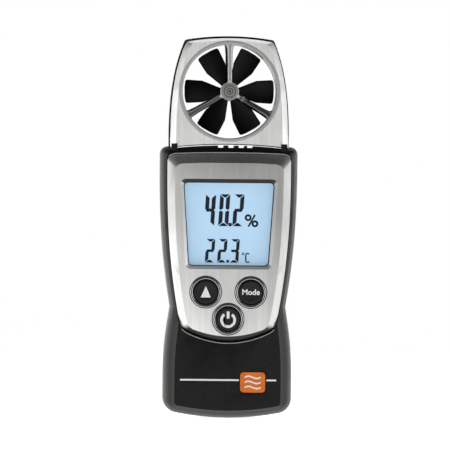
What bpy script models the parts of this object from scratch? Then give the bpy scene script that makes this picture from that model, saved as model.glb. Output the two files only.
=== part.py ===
"""A pocket vane anemometer: a waisted two-shell body with a silver front panel, a backlit display, three
buttons and two AAA cells, carrying a ducted six-blade wind wheel between two three-strut guards.

The instrument stands upright. Z runs up its length, X to the right as its user sees it, and the front
faces -Y. The origin is the middle of its lowest edge.
"""

import math

import bmesh
import bpy
from mathutils import Matrix, Vector

# Driving dimensions, in metres.
GAP = 0.0003
WALL = 0.0018

BODY_HALF_WIDTH = 0.0230
GRIP_HALF_WIDTH = 0.0215
WAIST_HALF_WIDTH = 0.0193
WAIST_HEIGHT = 0.0373
GRIP_STRAIGHT_TOP = 0.0150
BODY_SHOULDER = 0.0850
BODY_TOP = 0.0909
BOTTOM_ARC_RADIUS = 0.0890
BOTTOM_CORNER = 0.0039
TOP_CORNER = 0.0026
BOTTOM_INSET_SHARE = 0.65

BACK = 0.0123
PARTING = 0.0010
GRIP_FACE = -0.0112
POCKET_FLOOR = -0.0097
PANEL_BACK = -0.0100
PANEL_FACE = -0.0119
FRONT_WALL_INSIDE = -0.0088

# How far the body's outline draws in (first number) at each depth (second number).
FRONT_FLANK = ((0.0, PARTING), (0.0, -0.0055), (0.0004, -0.0078), (0.0011, -0.0091), (0.0021, -0.0100),
               (0.0034, -0.0108), (0.0037, GRIP_FACE))
FRONT_HOLLOW = ((WALL, PARTING + 0.0010), (WALL, -0.0055), (0.0030, FRONT_WALL_INSIDE))
REAR_FLANK = ((0.0, PARTING + GAP), (0.0, 0.0072), (0.0005, 0.0096), (0.0015, 0.0112), (0.0028, 0.0120),
              (0.0036, BACK))
REAR_HOLLOW = ((WALL, 0.0), (WALL, 0.0075), (0.0042, 0.0110))

PANEL_TOP_HALF = 0.0207
PANEL_TOP = 0.0886
PANEL_BOTTOM = 0.0252
PANEL_CORNER_HALF = 0.0157
PANEL_CORNER_HEIGHT = 0.0297
PANEL_CHAMFER = 0.0025

WINDOW_TOP = 0.0787
WINDOW_BOTTOM = 0.0511
WINDOW_TOP_HALF = 0.0150
WINDOW_BOTTOM_HALF = 0.0132
WINDOW_CORNER = 0.0012
BEZEL_WIDTH = 0.0013
WINDOW_FRONT = -0.0109

BUTTON_SPOTS = {"up": (-0.00755, 0.0421), "mode": (0.00755, 0.0421), "power": (0.0, 0.0331)}
RING_RADIUS = 0.0052
BUTTON_RADIUS = 0.00405
BUTTON_FLANGE_RADIUS = 0.0050
BUTTON_TRAVEL = 0.0006
BUTTON_FRONT = -0.0120

HEAD_BOTTOM = 0.0916
HEAD_BOTTOM_ARC_RADIUS = 0.1670
HEAD_HALF_WIDTH = 0.0201
HEAD_TOP = 0.1280
HEAD_TOP_HALF = 0.0149
HEAD_CORNER_HEIGHT = 0.1267
HEAD_FRONT = -0.0079
HEAD_BACK = 0.0090
HEAD_SPLIT = -0.0004
HEAD_EDGE_STEP = 0.0004
HEAD_TOP_STEP = 0.0003

VANE_HEIGHT = 0.1094
DUCT_RADIUS = 0.01575
GUARD_RADIUS = 0.01675
BLADE_COUNT = 6
BLADE_TIP = 0.0148
BLADE_PITCH = math.radians(40)
BLADE_THICKNESS = 0.0008
IMPELLER_MIDDLE = 0.0004
STRUT_ANGLES = (90, 210, 330)
REAR_STRUT_EXTRA = 0.0003
HUB_RADIUS = 0.0031
SHAFT_RADIUS = 0.0005

HEAD_STOP_INSIDE = 0.0174
HEAD_STOP_OUTSIDE = 0.0194
HEAD_STOP_TOP = 0.0918

SLOT_CENTRES = (-0.0027, 0.00076, 0.0042, 0.00705)
SLOT_WIDTH = 0.0020
SLOT_BOTTOM = 0.0905

CELL_RADIUS = 0.00525
CELL_DEPTH = 0.0049
CELL_SPACING = 0.00555
BAY_HALF_WIDTH = 0.0114
BAY_BOTTOM = 0.0060
BAY_TOP = 0.0550
COVER_HALF_WIDTH = 0.0129
COVER_TOP = 0.0573
COVER_INSIDE = 0.0107

SCREW_SPOTS = ((-0.0165, 0.0842), (0.0165, 0.0842), (-0.0169, 0.0110), (0.0169, 0.0110))
SCREW_HEAD_RADIUS = 0.0017
SCREW_SHANK_RADIUS = 0.0008

BADGE_CENTRE = (0.0084, 0.0120)
BADGE_HALF = (0.0042, 0.0034)

FAR = 0.0200


# Materials.

def material(name, colour, roughness, metallic=0.0):
    made = bpy.data.materials.new(name)
    made.use_nodes = True
    shader = made.node_tree.nodes["Principled BSDF"]
    shader.inputs["Base Color"].default_value = (*colour, 1.0)
    shader.inputs["Roughness"].default_value = roughness
    shader.inputs["Metallic"].default_value = metallic
    return made


def make_materials():
    return {
        "charcoal": material("charcoal_plastic", (0.030, 0.030, 0.029), 0.45),
        "silver": material("silver_lacquer", (0.62, 0.62, 0.60), 0.30, 0.9),
        "chrome": material("chrome", (0.80, 0.80, 0.80), 0.08, 1.0),
        "black": material("black_gloss", (0.012, 0.012, 0.013), 0.25),
        "clear": material("clear_window", (0.80, 0.88, 0.95), 0.05),
        "lcd": material("display_glass", (0.38, 0.56, 0.74), 0.20),
        "white": material("white_plastic", (0.80, 0.80, 0.78), 0.40),
        "green": material("board_green", (0.03, 0.18, 0.08), 0.50),
        "rubber": material("keypad_rubber", (0.05, 0.05, 0.05), 0.80),
        "steel": material("steel", (0.55, 0.55, 0.56), 0.25, 1.0),
        "brass": material("spring_nickel", (0.65, 0.60, 0.50), 0.25, 1.0),
        "cell": material("cell_jacket", (0.10, 0.20, 0.32), 0.35, 0.3),
        "amber": material("badge_amber", (0.80, 0.30, 0.03), 0.35),
    }


# Outlines, each a list of (x, z) points.

def bezier(start, first, second, end, steps):
    """The points of a cubic curve after its start."""
    points = []
    for step in range(1, steps + 1):
        t = step / steps
        s = 1 - t
        weights = (s ** 3, 3 * s * s * t, 3 * s * t * t, t ** 3)
        points.append(tuple(
            sum(weight * point[axis] for weight, point in zip(weights, (start, first, second, end)))
            for axis in (0, 1)
        ))
    return points


def rounded(start, corner, end, steps):
    """A corner rounded from start to end, without its start point."""
    pull = 0.56
    first = tuple(a + pull * (b - a) for a, b in zip(start, corner))
    second = tuple(a + pull * (b - a) for a, b in zip(end, corner))
    return bezier(start, first, second, end, steps)


def mirrored(half):
    """The whole outline from its right half, which runs from the bottom middle to the top middle."""
    return half + [(-x, z) for x, z in reversed(half[1:-1])]


def body_outline(inset):
    """The waisted body seen from the front, drawn in by inset."""
    lift = inset * BOTTOM_INSET_SHARE
    grip = GRIP_HALF_WIDTH - inset
    waist = WAIST_HALF_WIDTH - inset
    upper = BODY_HALF_WIDTH - inset
    corner = max(BOTTOM_CORNER - inset, 0.0012)
    top_corner = max(TOP_CORNER - inset * 0.6, 0.0008)
    top = BODY_TOP - inset

    def bottom(x):
        return lift + x * x / (2 * BOTTOM_ARC_RADIUS)

    turn = grip - corner
    half = [(turn * step / 4, bottom(turn * step / 4)) for step in range(5)]
    half += rounded(half[-1], (grip, bottom(grip)), (grip, bottom(grip) + corner), 5)
    half.append((grip, GRIP_STRAIGHT_TOP))
    neck = (waist, WAIST_HEIGHT)
    half += bezier((grip, GRIP_STRAIGHT_TOP), (grip, 0.0240), (waist + 0.0010, 0.0310), neck, 7)
    half += bezier(neck, (upper - 0.0012, 0.0520), (upper, 0.0650), (upper, BODY_SHOULDER), 10)
    half.append((upper, top - top_corner))
    half += rounded(half[-1], (upper, top), (upper - top_corner, top), 5)
    half.append((0.0, top))
    return mirrored(half)


def panel_outline(inset):
    """The silver panel, drawn in by inset: a little more at its top, a little less at its bottom."""
    upper = PANEL_TOP_HALF - inset
    low = PANEL_CORNER_HALF - inset * 0.9
    top = PANEL_TOP - inset * 1.25
    bottom = PANEL_BOTTOM + inset * 0.85
    corner = PANEL_CORNER_HEIGHT + inset * 0.35
    turn = 0.0016
    sweep = (low - turn, corner - 0.0009)
    half = [(0.0, bottom)]
    half += bezier(half[0], (low * 0.36, bottom), (low * 0.70, bottom + (corner - bottom) * 0.42), sweep, 8)
    half += rounded(sweep, (low, corner), (low + 0.0004, corner + turn), 4)
    half += bezier(half[-1], (low + 0.0036, 0.0480), (upper, 0.0620), (upper, 0.0830), 12)
    half.append((upper, top - 0.0026))
    half += rounded(half[-1], (upper, top - 0.0007), (upper - 0.0026, top - 0.0004), 5)
    half.append((upper * 0.5, top - 0.0001))
    half.append((0.0, top))
    return mirrored(half)


def window_outline(grow):
    """The display window, a shallow keystone with small round corners."""
    top = WINDOW_TOP + grow
    bottom = WINDOW_BOTTOM - grow
    wide = WINDOW_TOP_HALF + grow
    narrow = WINDOW_BOTTOM_HALF + grow
    corner = max(WINDOW_CORNER + grow * 0.5, 0.0004)
    lean = corner * (wide - narrow) / (top - bottom)
    half = [(0.0, bottom), (narrow - corner, bottom)]
    half += rounded(half[-1], (narrow, bottom), (narrow + lean, bottom + corner), 4)
    half.append((wide - lean, top - corner))
    half += rounded(half[-1], (wide, top), (wide - corner, top), 4)
    half.append((0.0, top))
    return mirrored(half)


def head_outline(inset, drop):
    """The wind wheel's housing, drawn in by inset: less at its top, which also drops, least at its foot."""
    wide = HEAD_HALF_WIDTH - inset
    top = HEAD_TOP - inset * 0.45 - drop
    narrow = HEAD_TOP_HALF - inset * 0.85
    corner = HEAD_CORNER_HEIGHT - inset * 0.45 - drop
    turn = 0.0005

    def bottom(x):
        return HEAD_BOTTOM + inset * 0.1 - x * x / (2 * HEAD_BOTTOM_ARC_RADIUS)

    half = [(wide * step / 4, bottom(wide * step / 4)) for step in range(5)]
    below_corner = (narrow + turn * 0.4, corner - turn)
    half += bezier(half[-1], (wide + 0.0003, 0.1040), (wide - 0.0007, 0.1160), below_corner, 14)
    half += rounded(half[-1], (narrow, corner), (narrow - turn, corner + 0.0001), 3)
    half += bezier(half[-1], (narrow * 0.66, top - 0.0004), (narrow * 0.33, top), (0.0, top), 6)
    return mirrored(half)


def box_outline(low_x, high_x, low_z, high_z):
    return [(low_x, low_z), (high_x, low_z), (high_x, high_z), (low_x, high_z)]


def circle_outline(centre, radius, sides):
    return [
        (centre[0] + radius * math.cos(2 * math.pi * side / sides),
         centre[1] + radius * math.sin(2 * math.pi * side / sides))
        for side in range(sides)
    ]


# Solids.

def finish_mesh(name, bm, finish, parent=None):
    bmesh.ops.recalc_face_normals(bm, faces=bm.faces)
    mesh = bpy.data.meshes.new(name)
    bm.to_mesh(mesh)
    bm.free()
    made = bpy.data.objects.new(name, mesh)
    bpy.context.scene.collection.objects.link(made)
    mesh.shade_smooth()
    mesh.set_sharp_from_angle(angle=math.radians(32))
    if finish is not None:
        mesh.materials.append(finish)
    if parent is not None:
        made.parent = parent
        made.matrix_parent_inverse = parent.matrix_world.inverted()
    return made


def stack(name, rings, finish=None, parent=None):
    """A solid skinned over rings of equal length, each (outline, depth), with both ends capped."""
    bm = bmesh.new()
    loops = [[bm.verts.new((x, depth, z)) for x, z in outline] for outline, depth in rings]
    for near, far in zip(loops, loops[1:]):
        for side in range(len(near)):
            after = (side + 1) % len(near)
            bm.faces.new((near[side], near[after], far[after], far[side]))
    bm.faces.new(loops[0])
    bm.faces.new(loops[-1])
    return finish_mesh(name, bm, finish, parent)


def slab(name, outline, front, back, finish=None, parent=None):
    return stack(name, ((outline, front), (outline, back)), finish, parent)


def block(name, low, high, finish=None, parent=None):
    outline = box_outline(low[0], high[0], low[2], high[2])
    return slab(name, outline, low[1], high[1], finish, parent)


def disc(name, centre, radius, front, back, sides, finish=None, parent=None):
    return slab(name, circle_outline(centre, radius, sides), front, back, finish, parent)


def turned(name, centre, profile, sides, finish=None, parent=None):
    """A closed (radius, depth) profile turned about the Y axis through centre. Zero radii meet at a point."""
    bm = bmesh.new()
    loops = []
    for radius, depth in profile:
        if radius == 0.0:
            loops.append([bm.verts.new((centre[0], depth, centre[1]))])
        else:
            loops.append([bm.verts.new((x, depth, z)) for x, z in circle_outline(centre, radius, sides)])
    pairs = list(zip(loops, loops[1:]))
    if profile[0][0] != 0.0:
        pairs.append((loops[-1], loops[0]))
    for near, far in pairs:
        for side in range(sides):
            after = (side + 1) % sides
            corners = [
                near[side % len(near)], near[after % len(near)], far[after % len(far)], far[side % len(far)],
            ]
            unique = list(dict.fromkeys(corners))
            if len(unique) > 2:
                bm.faces.new(unique)
    return finish_mesh(name, bm, finish, parent)


def combine(target, other, operation):
    """Cuts other from target, joins it, or keeps what they share, and hides other."""
    modifier = target.modifiers.new(f"{operation.lower()}_{other.name}", "BOOLEAN")
    modifier.operation = operation
    modifier.solver = "EXACT"
    modifier.object = other
    other.hide_render = True
    other.display_type = "WIRE"


def cut(target, *cutters):
    for cutter in cutters:
        combine(target, cutter, "DIFFERENCE")


def join(target, *others):
    for other in others:
        combine(target, other, "UNION")


# The body.

def screw_boss(name, spot, front, back):
    return disc(name, spot, 0.0026, front, back, 12)


def make_front_shell(finish):
    shell = stack("front_shell", [(body_outline(inset), depth) for inset, depth in FRONT_FLANK], finish)
    cut(shell, stack("front_hollow", [(body_outline(inset), depth) for inset, depth in FRONT_HOLLOW]))
    cut(shell, slab("panel_pocket", panel_outline(-GAP), -FAR, POCKET_FLOOR))
    cut(shell, slab("front_window_hole", window_outline(0.0), -FAR, 0.0))
    for name, spot in BUTTON_SPOTS.items():
        cut(shell, disc(f"shell_hole_{name}", spot, BUTTON_RADIUS + GAP, -FAR, -0.0060, 24))
    cut(shell, block("front_neck_hole", (-0.0204, -0.0082, 0.0870), (0.0204, FAR, 0.1000)))
    cut(shell, slab("badge_recess", badge_outline(GAP), -FAR, GRIP_FACE + 0.0005))
    for side in (-1, 1):
        low_x, high_x = sorted((side * HEAD_STOP_INSIDE, side * HEAD_STOP_OUTSIDE))
        join(shell, block(f"head_stop_{side}", (low_x, -0.0096, 0.0880), (high_x, -0.0083, HEAD_STOP_TOP)))
    for number, spot in enumerate(SCREW_SPOTS, 1):
        join(shell, disc(f"front_boss_{number}", spot, 0.0020, FRONT_WALL_INSIDE - 0.0003, PARTING, 12))
        cut(shell, disc(f"front_screw_hole_{number}", spot, SCREW_SHANK_RADIUS + GAP, -0.0050, FAR, 12))
    return shell


def make_rear_shell(finish):
    shell = stack("rear_shell", [(body_outline(inset), depth) for inset, depth in REAR_FLANK], finish)
    cut(shell, stack("rear_hollow", [(body_outline(inset), depth) for inset, depth in REAR_HOLLOW]))
    join(shell, block("cell_tray", (-0.0144, -0.0016, 0.0045), (0.0144, 0.0114, 0.0588)))
    join(shell, block("tray_foot", (-0.0144, 0.0090, 0.0022), (0.0144, 0.0114, 0.0060)))
    cut(shell, block("cell_bay", (-BAY_HALF_WIDTH, -0.0006, BAY_BOTTOM), (BAY_HALF_WIDTH, FAR, BAY_TOP)))
    channel = (COVER_HALF_WIDTH + GAP, COVER_INSIDE - GAP, COVER_TOP + GAP)
    cut(shell, block("cover_channel", (-channel[0], channel[1], -FAR), (channel[0], FAR, channel[2])))
    cut(shell, block("rear_neck_hole", (-0.0204, -FAR, 0.0870), (0.0204, 0.0093, 0.1000)))
    for number, spot in enumerate(SCREW_SPOTS, 1):
        join(shell, screw_boss(f"rear_boss_{number}", spot, PARTING + GAP, 0.0114))
        cut(shell, disc(f"rear_screw_hole_{number}", spot, SCREW_SHANK_RADIUS + GAP, -FAR, FAR, 12))
        cut(shell, disc(f"rear_counterbore_{number}", spot, SCREW_HEAD_RADIUS + GAP, 0.0106, FAR, 16))
    return shell


def make_screws(finish):
    for number, spot in enumerate(SCREW_SPOTS, 1):
        profile = (
            (0.0, -0.0040), (SCREW_SHANK_RADIUS, -0.0034), (SCREW_SHANK_RADIUS, 0.0109),
            (SCREW_HEAD_RADIUS, 0.0109), (SCREW_HEAD_RADIUS, 0.0116), (0.0012, 0.0119), (0.0, 0.0119),
        )
        turned(f"rear_screw_{number}", spot, profile, 12, finish)


def badge_outline(grow):
    half_x, half_z = (half + grow for half in BADGE_HALF)
    turn = 0.0012 + grow
    corners = ((half_x, -half_z), (half_x, half_z), (-half_x, half_z), (-half_x, -half_z))
    directions = ((0, 1), (-1, 0), (0, -1), (1, 0))
    outline = []
    for (x, z), before, after in zip(corners, directions[-1:] + directions[:-1], directions):
        start = (x - before[0] * turn, z - before[1] * turn)
        end = (x + after[0] * turn, z + after[1] * turn)
        outline += [start] + rounded(start, (x, z), end, 4)
    return [(BADGE_CENTRE[0] + x, BADGE_CENTRE[1] + z) for x, z in outline]


def make_badge(finish):
    slab("front_badge", badge_outline(0.0), GRIP_FACE - 0.0004, GRIP_FACE + 0.0002, finish)


def make_panel(finish):
    rings = (
        (panel_outline(0.0), PANEL_BACK), (panel_outline(0.0), -0.0103),
        (panel_outline(PANEL_CHAMFER * 0.94), PANEL_FACE + 0.0001),
        (panel_outline(PANEL_CHAMFER), PANEL_FACE),
    )
    panel = stack("front_panel", rings, finish)
    bezel = (
        (window_outline(BEZEL_WIDTH * 1.6), PANEL_FACE - 0.0006), (window_outline(BEZEL_WIDTH), PANEL_FACE),
        (window_outline(GAP), WINDOW_FRONT), (window_outline(GAP), 0.0),
    )
    cut(panel, stack("bezel_cutter", bezel))
    for name, spot in BUTTON_SPOTS.items():
        cut(panel, disc(f"panel_hole_{name}", spot, RING_RADIUS + GAP, -FAR, 0.0, 32))
    return panel


# The display.

def make_display(finishes):
    slab("display_window", window_outline(0.0), WINDOW_FRONT, PANEL_BACK, finishes["clear"])
    frame = block("lcd_frame", (-0.0170, -0.0085, 0.0489), (0.0170, -0.0055, 0.0816), finishes["white"])
    cut(frame, block("lcd_frame_hole", (-0.0162, -FAR, 0.0493), (0.0162, FAR, 0.0810)))
    block("lcd_glass", (-0.0158, -0.0085, 0.0497), (0.0158, -0.0071, 0.0806), finishes["lcd"])
    block("lcd_backlight", (-0.0155, -0.0068, 0.0525), (0.0155, -0.0058, 0.0803), finishes["white"])
    block("contact_strip", (-0.0130, -0.0068, 0.0500), (0.0130, -0.0055, 0.0520), finishes["rubber"])


def make_board(finishes):
    board = block("main_board", (-0.0150, -0.0052, 0.0270), (0.0150, -0.0042, 0.0816), finishes["green"])
    block("processor_chip", (-0.0040, -0.0039, 0.0640), (0.0040, -0.0027, 0.0720), finishes["black"])
    block("crystal_can", (0.0070, -0.0039, 0.0655), (0.0095, -0.0021, 0.0725), finishes["steel"])
    return board


# The buttons.

def make_buttons(finishes):
    mat = block("keypad_mat", (-0.0140, -0.0084, 0.0262), (0.0140, -0.0079, 0.0482), finishes["rubber"])
    for name, spot in BUTTON_SPOTS.items():
        cut(mat, disc(f"mat_hole_{name}", spot, BUTTON_FLANGE_RADIUS + GAP, -FAR, FAR, 20))
        inner = BUTTON_RADIUS + GAP
        ring = (
            (inner, -0.0101), (RING_RADIUS, -0.0101), (RING_RADIUS, -0.0119), (RING_RADIUS - 0.0002, -0.0122),
            (RING_RADIUS - 0.0005, -0.0123), (inner + 0.0001, -0.0122), (inner, -0.0119),
        )
        turned(f"ring_{name}", spot, ring, 32, finishes["chrome"])
        pivot = bpy.data.objects.new(f"press_axis_{name}", None)
        pivot.location = (spot[0], BUTTON_FRONT, spot[1])
        bpy.context.scene.collection.objects.link(pivot)
        bpy.context.view_layer.update()
        cap = (
            (0.0, BUTTON_FRONT + 0.0002), (0.0022, BUTTON_FRONT + 0.0001), (0.0034, BUTTON_FRONT),
            (BUTTON_RADIUS - 0.0002, BUTTON_FRONT + 0.0001), (BUTTON_RADIUS, BUTTON_FRONT + 0.0003),
            (BUTTON_RADIUS, FRONT_WALL_INSIDE + GAP), (BUTTON_FLANGE_RADIUS, FRONT_WALL_INSIDE + GAP),
            (BUTTON_FLANGE_RADIUS, -0.0081), (0.0, -0.0081),
        )
        turned(f"button_{name}", spot, cap, 32, finishes["black"], pivot)
        low = (spot[0] - 0.0022, -0.0068, spot[1] - 0.0022)
        high = (spot[0] + 0.0022, -0.0055, spot[1] + 0.0022)
        switch = block(f"switch_{name}", low, high, finishes["steel"])
        join(switch, disc(f"plunger_{name}", spot, 0.0009, -0.0073, -0.0060, 12))


# The cells and their cover.

def cell_profile(bottom, nub_up):
    body = 0.0435
    nub = 0.0010
    if nub_up:
        low, high = bottom, bottom + body
        return ((0.0, low), (0.0045, low), (CELL_RADIUS, low + 0.0004), (CELL_RADIUS, high - 0.0004),
                (0.0045, high), (0.0019, high), (0.0019, high + nub), (0.0, high + nub))
    low, high = bottom + nub, bottom + nub + body
    return ((0.0, bottom), (0.0019, bottom), (0.0019, low), (0.0045, low), (CELL_RADIUS, low + 0.0004),
            (CELL_RADIUS, high - 0.0004), (0.0045, high), (0.0, high))


def make_cells(finishes):
    upright = Matrix.Rotation(math.radians(90), 4, "X")
    for name, side, nub_up in (("battery_left", -1, True), ("battery_right", 1, False)):
        cell = turned(name, (0.0, 0.0), cell_profile(0.0, nub_up), 24, finishes["cell"])
        cell.data.transform(upright)
        cell.location = (side * CELL_SPACING, CELL_DEPTH, 0.0086 if nub_up else 0.0083)
    block("bridge_contact", (-0.0105, 0.0004, 0.0537), (0.0105, 0.0094, 0.0541), finishes["brass"])
    block("plate_contact", (0.0010, 0.0004, 0.0074), (0.0105, 0.0094, 0.0078), finishes["brass"])
    make_spring(finishes["brass"])


def make_spring(finish):
    """The conical wire spring under the left cell."""
    turns, steps, wire = 2.2, 36, 0.0002
    curve = bpy.data.curves.new("spring_contact", "CURVE")
    curve.dimensions = "3D"
    curve.bevel_depth = wire
    curve.bevel_resolution = 1
    curve.use_fill_caps = True
    spline = curve.splines.new("POLY")
    spline.points.add(steps)
    for step in range(steps + 1):
        share = step / steps
        angle = 2 * math.pi * turns * share
        radius = 0.0036 - 0.0018 * share
        height = 0.0065 + 0.0017 * share
        spline.points[step].co = (radius * math.cos(angle), radius * math.sin(angle), height, 1.0)
    made = bpy.data.objects.new("spring_contact", curve)
    made.location = (-CELL_SPACING, CELL_DEPTH, 0.0)
    curve.materials.append(finish)
    bpy.context.scene.collection.objects.link(made)


def make_battery_cover(finish):
    cover = stack("battery_cover", [(body_outline(inset), depth) for inset, depth in REAR_FLANK], finish)
    low = (-COVER_HALF_WIDTH, COVER_INSIDE, -FAR)
    high = (COVER_HALF_WIDTH, FAR, COVER_TOP)
    combine(cover, block("cover_limits", low, high), "INTERSECT")
    for rib in range(4):
        height = 0.0455 + 0.0024 * rib
        half = 0.0065 - 0.0009 * rib
        low, high = (-half, BACK - 0.0005, height), (half, FAR, height + 0.0010)
        cut(cover, block(f"grip_groove_{rib + 1}", low, high))
    return cover


# The neck and its sensors.

def make_neck(finishes):
    collar_half = 0.0193
    quarters = [collar_half * step / 4 for step in range(5)]
    rise = [(x, HEAD_BOTTOM - GAP - x * x / (2 * HEAD_BOTTOM_ARC_RADIUS)) for x in quarters]
    half = [(0.0, 0.0873), (collar_half, 0.0873)] + rise[::-1]
    collar = slab("neck_collar", mirrored(half), -0.0069, 0.0082, finishes["charcoal"])
    cut(collar, block("collar_hollow", (-0.0175, -0.0057, 0.0800), (0.0175, 0.0070, 0.0897)))
    for number, centre in enumerate(SLOT_CENTRES, 1):
        low = (centre - SLOT_WIDTH / 2, -FAR, SLOT_BOTTOM)
        high = (centre + SLOT_WIDTH / 2, FAR, 0.1000)
        cut(collar, block(f"vent_slot_{number}", low, high))
    block("sensor_board", (-0.0138, 0.0002, 0.0845), (-0.0050, 0.0010, 0.0893), finishes["green"])
    block("humidity_sensor", (-0.0130, -0.0010, 0.0862), (-0.0105, -0.0001, 0.0887), finishes["white"])
    block("temperature_sensor", (-0.0082, -0.0009, 0.0872), (-0.0070, -0.0001, 0.0887), finishes["black"])
    make_head_lead(finishes["rubber"])


def make_head_lead(finish):
    """The lead from the sensor board to the back of the main board."""
    curve = bpy.data.curves.new("head_lead", "CURVE")
    curve.dimensions = "3D"
    curve.bevel_depth = 0.0005
    curve.bevel_resolution = 1
    curve.use_fill_caps = True
    start, first = Vector((-0.0100, 0.0006, 0.0836)), Vector((-0.0100, 0.0006, 0.0810))
    second, end = Vector((-0.0090, -0.0031, 0.0830)), Vector((-0.0080, -0.0032, 0.0770))
    steps = 10
    spline = curve.splines.new("POLY")
    spline.points.add(steps)
    for step in range(steps + 1):
        t = step / steps
        s = 1 - t
        point = s ** 3 * start + 3 * s * s * t * first + 3 * s * t * t * second + t ** 3 * end
        spline.points[step].co = (*point, 1.0)
    made = bpy.data.objects.new("head_lead", curve)
    curve.materials.append(finish)
    bpy.context.scene.collection.objects.link(made)


# The head and the wind wheel.

def make_head_covers(finishes):
    front = (
        (0.0022, HEAD_FRONT), (0.0019, HEAD_FRONT + 0.0002),
        (HEAD_EDGE_STEP, -0.0062), (HEAD_EDGE_STEP, HEAD_SPLIT),
    )
    rear = ((0.0, HEAD_SPLIT + GAP), (0.0, 0.0070), (0.0006, 0.0083), (0.0018, HEAD_BACK))
    covers = (
        ("head_front_cover", front, HEAD_TOP_STEP, finishes["silver"]),
        ("head_rear_cover", rear, 0.0, finishes["charcoal"]),
    )
    for name, levels, drop, finish in covers:
        cover = stack(name, [(head_outline(inset, drop), depth) for inset, depth in levels], finish)
        cut(cover, disc(f"{name}_bore", (0.0, VANE_HEIGHT), GUARD_RADIUS + GAP, -FAR, FAR, 60))


def strut(name, angle, front, back, grow):
    """A guard strut, wider where it meets the ring, and wider by grow on each side."""
    inner, outer = 0.0020, DUCT_RADIUS + 0.0005
    edge = [(inner, 0.00075), (0.0125, 0.00085), (outer - 0.0008, 0.0011), (outer, 0.0018)]
    outline = [(reach, -half - grow) for reach, half in edge]
    outline += [(x, -z) for x, z in reversed(outline)]
    turn = math.radians(angle)
    placed = [
        (x * math.cos(turn) - z * math.sin(turn), VANE_HEIGHT + x * math.sin(turn) + z * math.cos(turn))
        for x, z in outline
    ]
    return slab(name, placed, front, back)


def make_guard(name, ring_profile, strut_shape, hub_profile, bore, finish):
    centre = (0.0, VANE_HEIGHT)
    guard = turned(name, centre, ring_profile, 60, finish)
    for angle in STRUT_ANGLES:
        join(guard, strut(f"{name}_strut_{angle}", angle, *strut_shape))
    join(guard, turned(f"{name}_hub", centre, hub_profile, 24))
    cut(guard, disc(f"{name}_bore", centre, 0.0016, *bore, 16))
    return guard


def make_guards(finishes):
    front_ring = (
        (DUCT_RADIUS, -0.0006), (DUCT_RADIUS, -0.0070), (DUCT_RADIUS + 0.0004, -0.0077),
        (DUCT_RADIUS + 0.0008, -0.0079), (GUARD_RADIUS, -0.0079), (GUARD_RADIUS, -0.0006),
    )
    front_hub = (
        (0.0, -0.0044), (HUB_RADIUS, -0.0044), (HUB_RADIUS, -0.0073),
        (HUB_RADIUS - 0.0003, -0.0076), (0.0, -0.0076),
    )
    front_struts = (-0.0073, -0.0057, 0.0)
    make_guard("front_guard", front_ring, front_struts, front_hub, (-0.0064, 0.0), finishes["silver"])
    rear_ring = (
        (DUCT_RADIUS, 0.0001 - HEAD_SPLIT), (DUCT_RADIUS, 0.0080), (DUCT_RADIUS + 0.0005, 0.0086),
        (GUARD_RADIUS, 0.0088), (GUARD_RADIUS, 0.0001 - HEAD_SPLIT),
    )
    rear_hub = (
        (0.0, 0.0050), (HUB_RADIUS, 0.0050), (HUB_RADIUS, 0.0078),
        (HUB_RADIUS - 0.0003, 0.0082), (0.0, 0.0082),
    )
    rear_struts = (0.0062, 0.0078, REAR_STRUT_EXTRA)
    make_guard("rear_guard", rear_ring, rear_struts, rear_hub, (0.0, FAR), finishes["charcoal"])


def make_wheel_fittings(finishes):
    centre = (0.0, VANE_HEIGHT)
    cap = (
        (0.0, -0.0079), (0.0024, -0.0079), (0.0024, -0.0082), (0.0020, -0.0085), (0.0013, -0.0085),
        (0.0010, -0.0082), (0.0004, -0.0082), (0.0, -0.0084),
    )
    turned("front_hub_cap", centre, cap, 24, finishes["silver"])
    for name, near, far in (("front_bearing", -0.0061, -0.0044), ("rear_bearing", 0.0050, 0.0067)):
        ring = ((SHAFT_RADIUS + GAP, near), (0.0013, near), (0.0013, far), (SHAFT_RADIUS + GAP, far))
        turned(name, centre, ring, 16, finishes["brass"])
    disc("speed_sensor", centre, 0.0013, 0.0070, 0.0080, 16, finishes["black"])


def blade_outline():
    """Half of a blade from its root to its tip: (distance from the axis, half of its chord)."""
    share = 1 / math.cos(BLADE_PITCH)
    flank = [(0.0014, 0.0006), (0.0028, 0.00095), (0.0060, 0.0022), (0.0090, 0.0034), (0.0140, 0.0037)]
    tip = rounded(flank[-1], (BLADE_TIP, 0.0037), (BLADE_TIP, 0.0029), 3)
    crown = (BLADE_TIP + 0.0002, 0.0014)
    return [(radius, half * share) for radius, half in flank + tip + [crown]]


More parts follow.
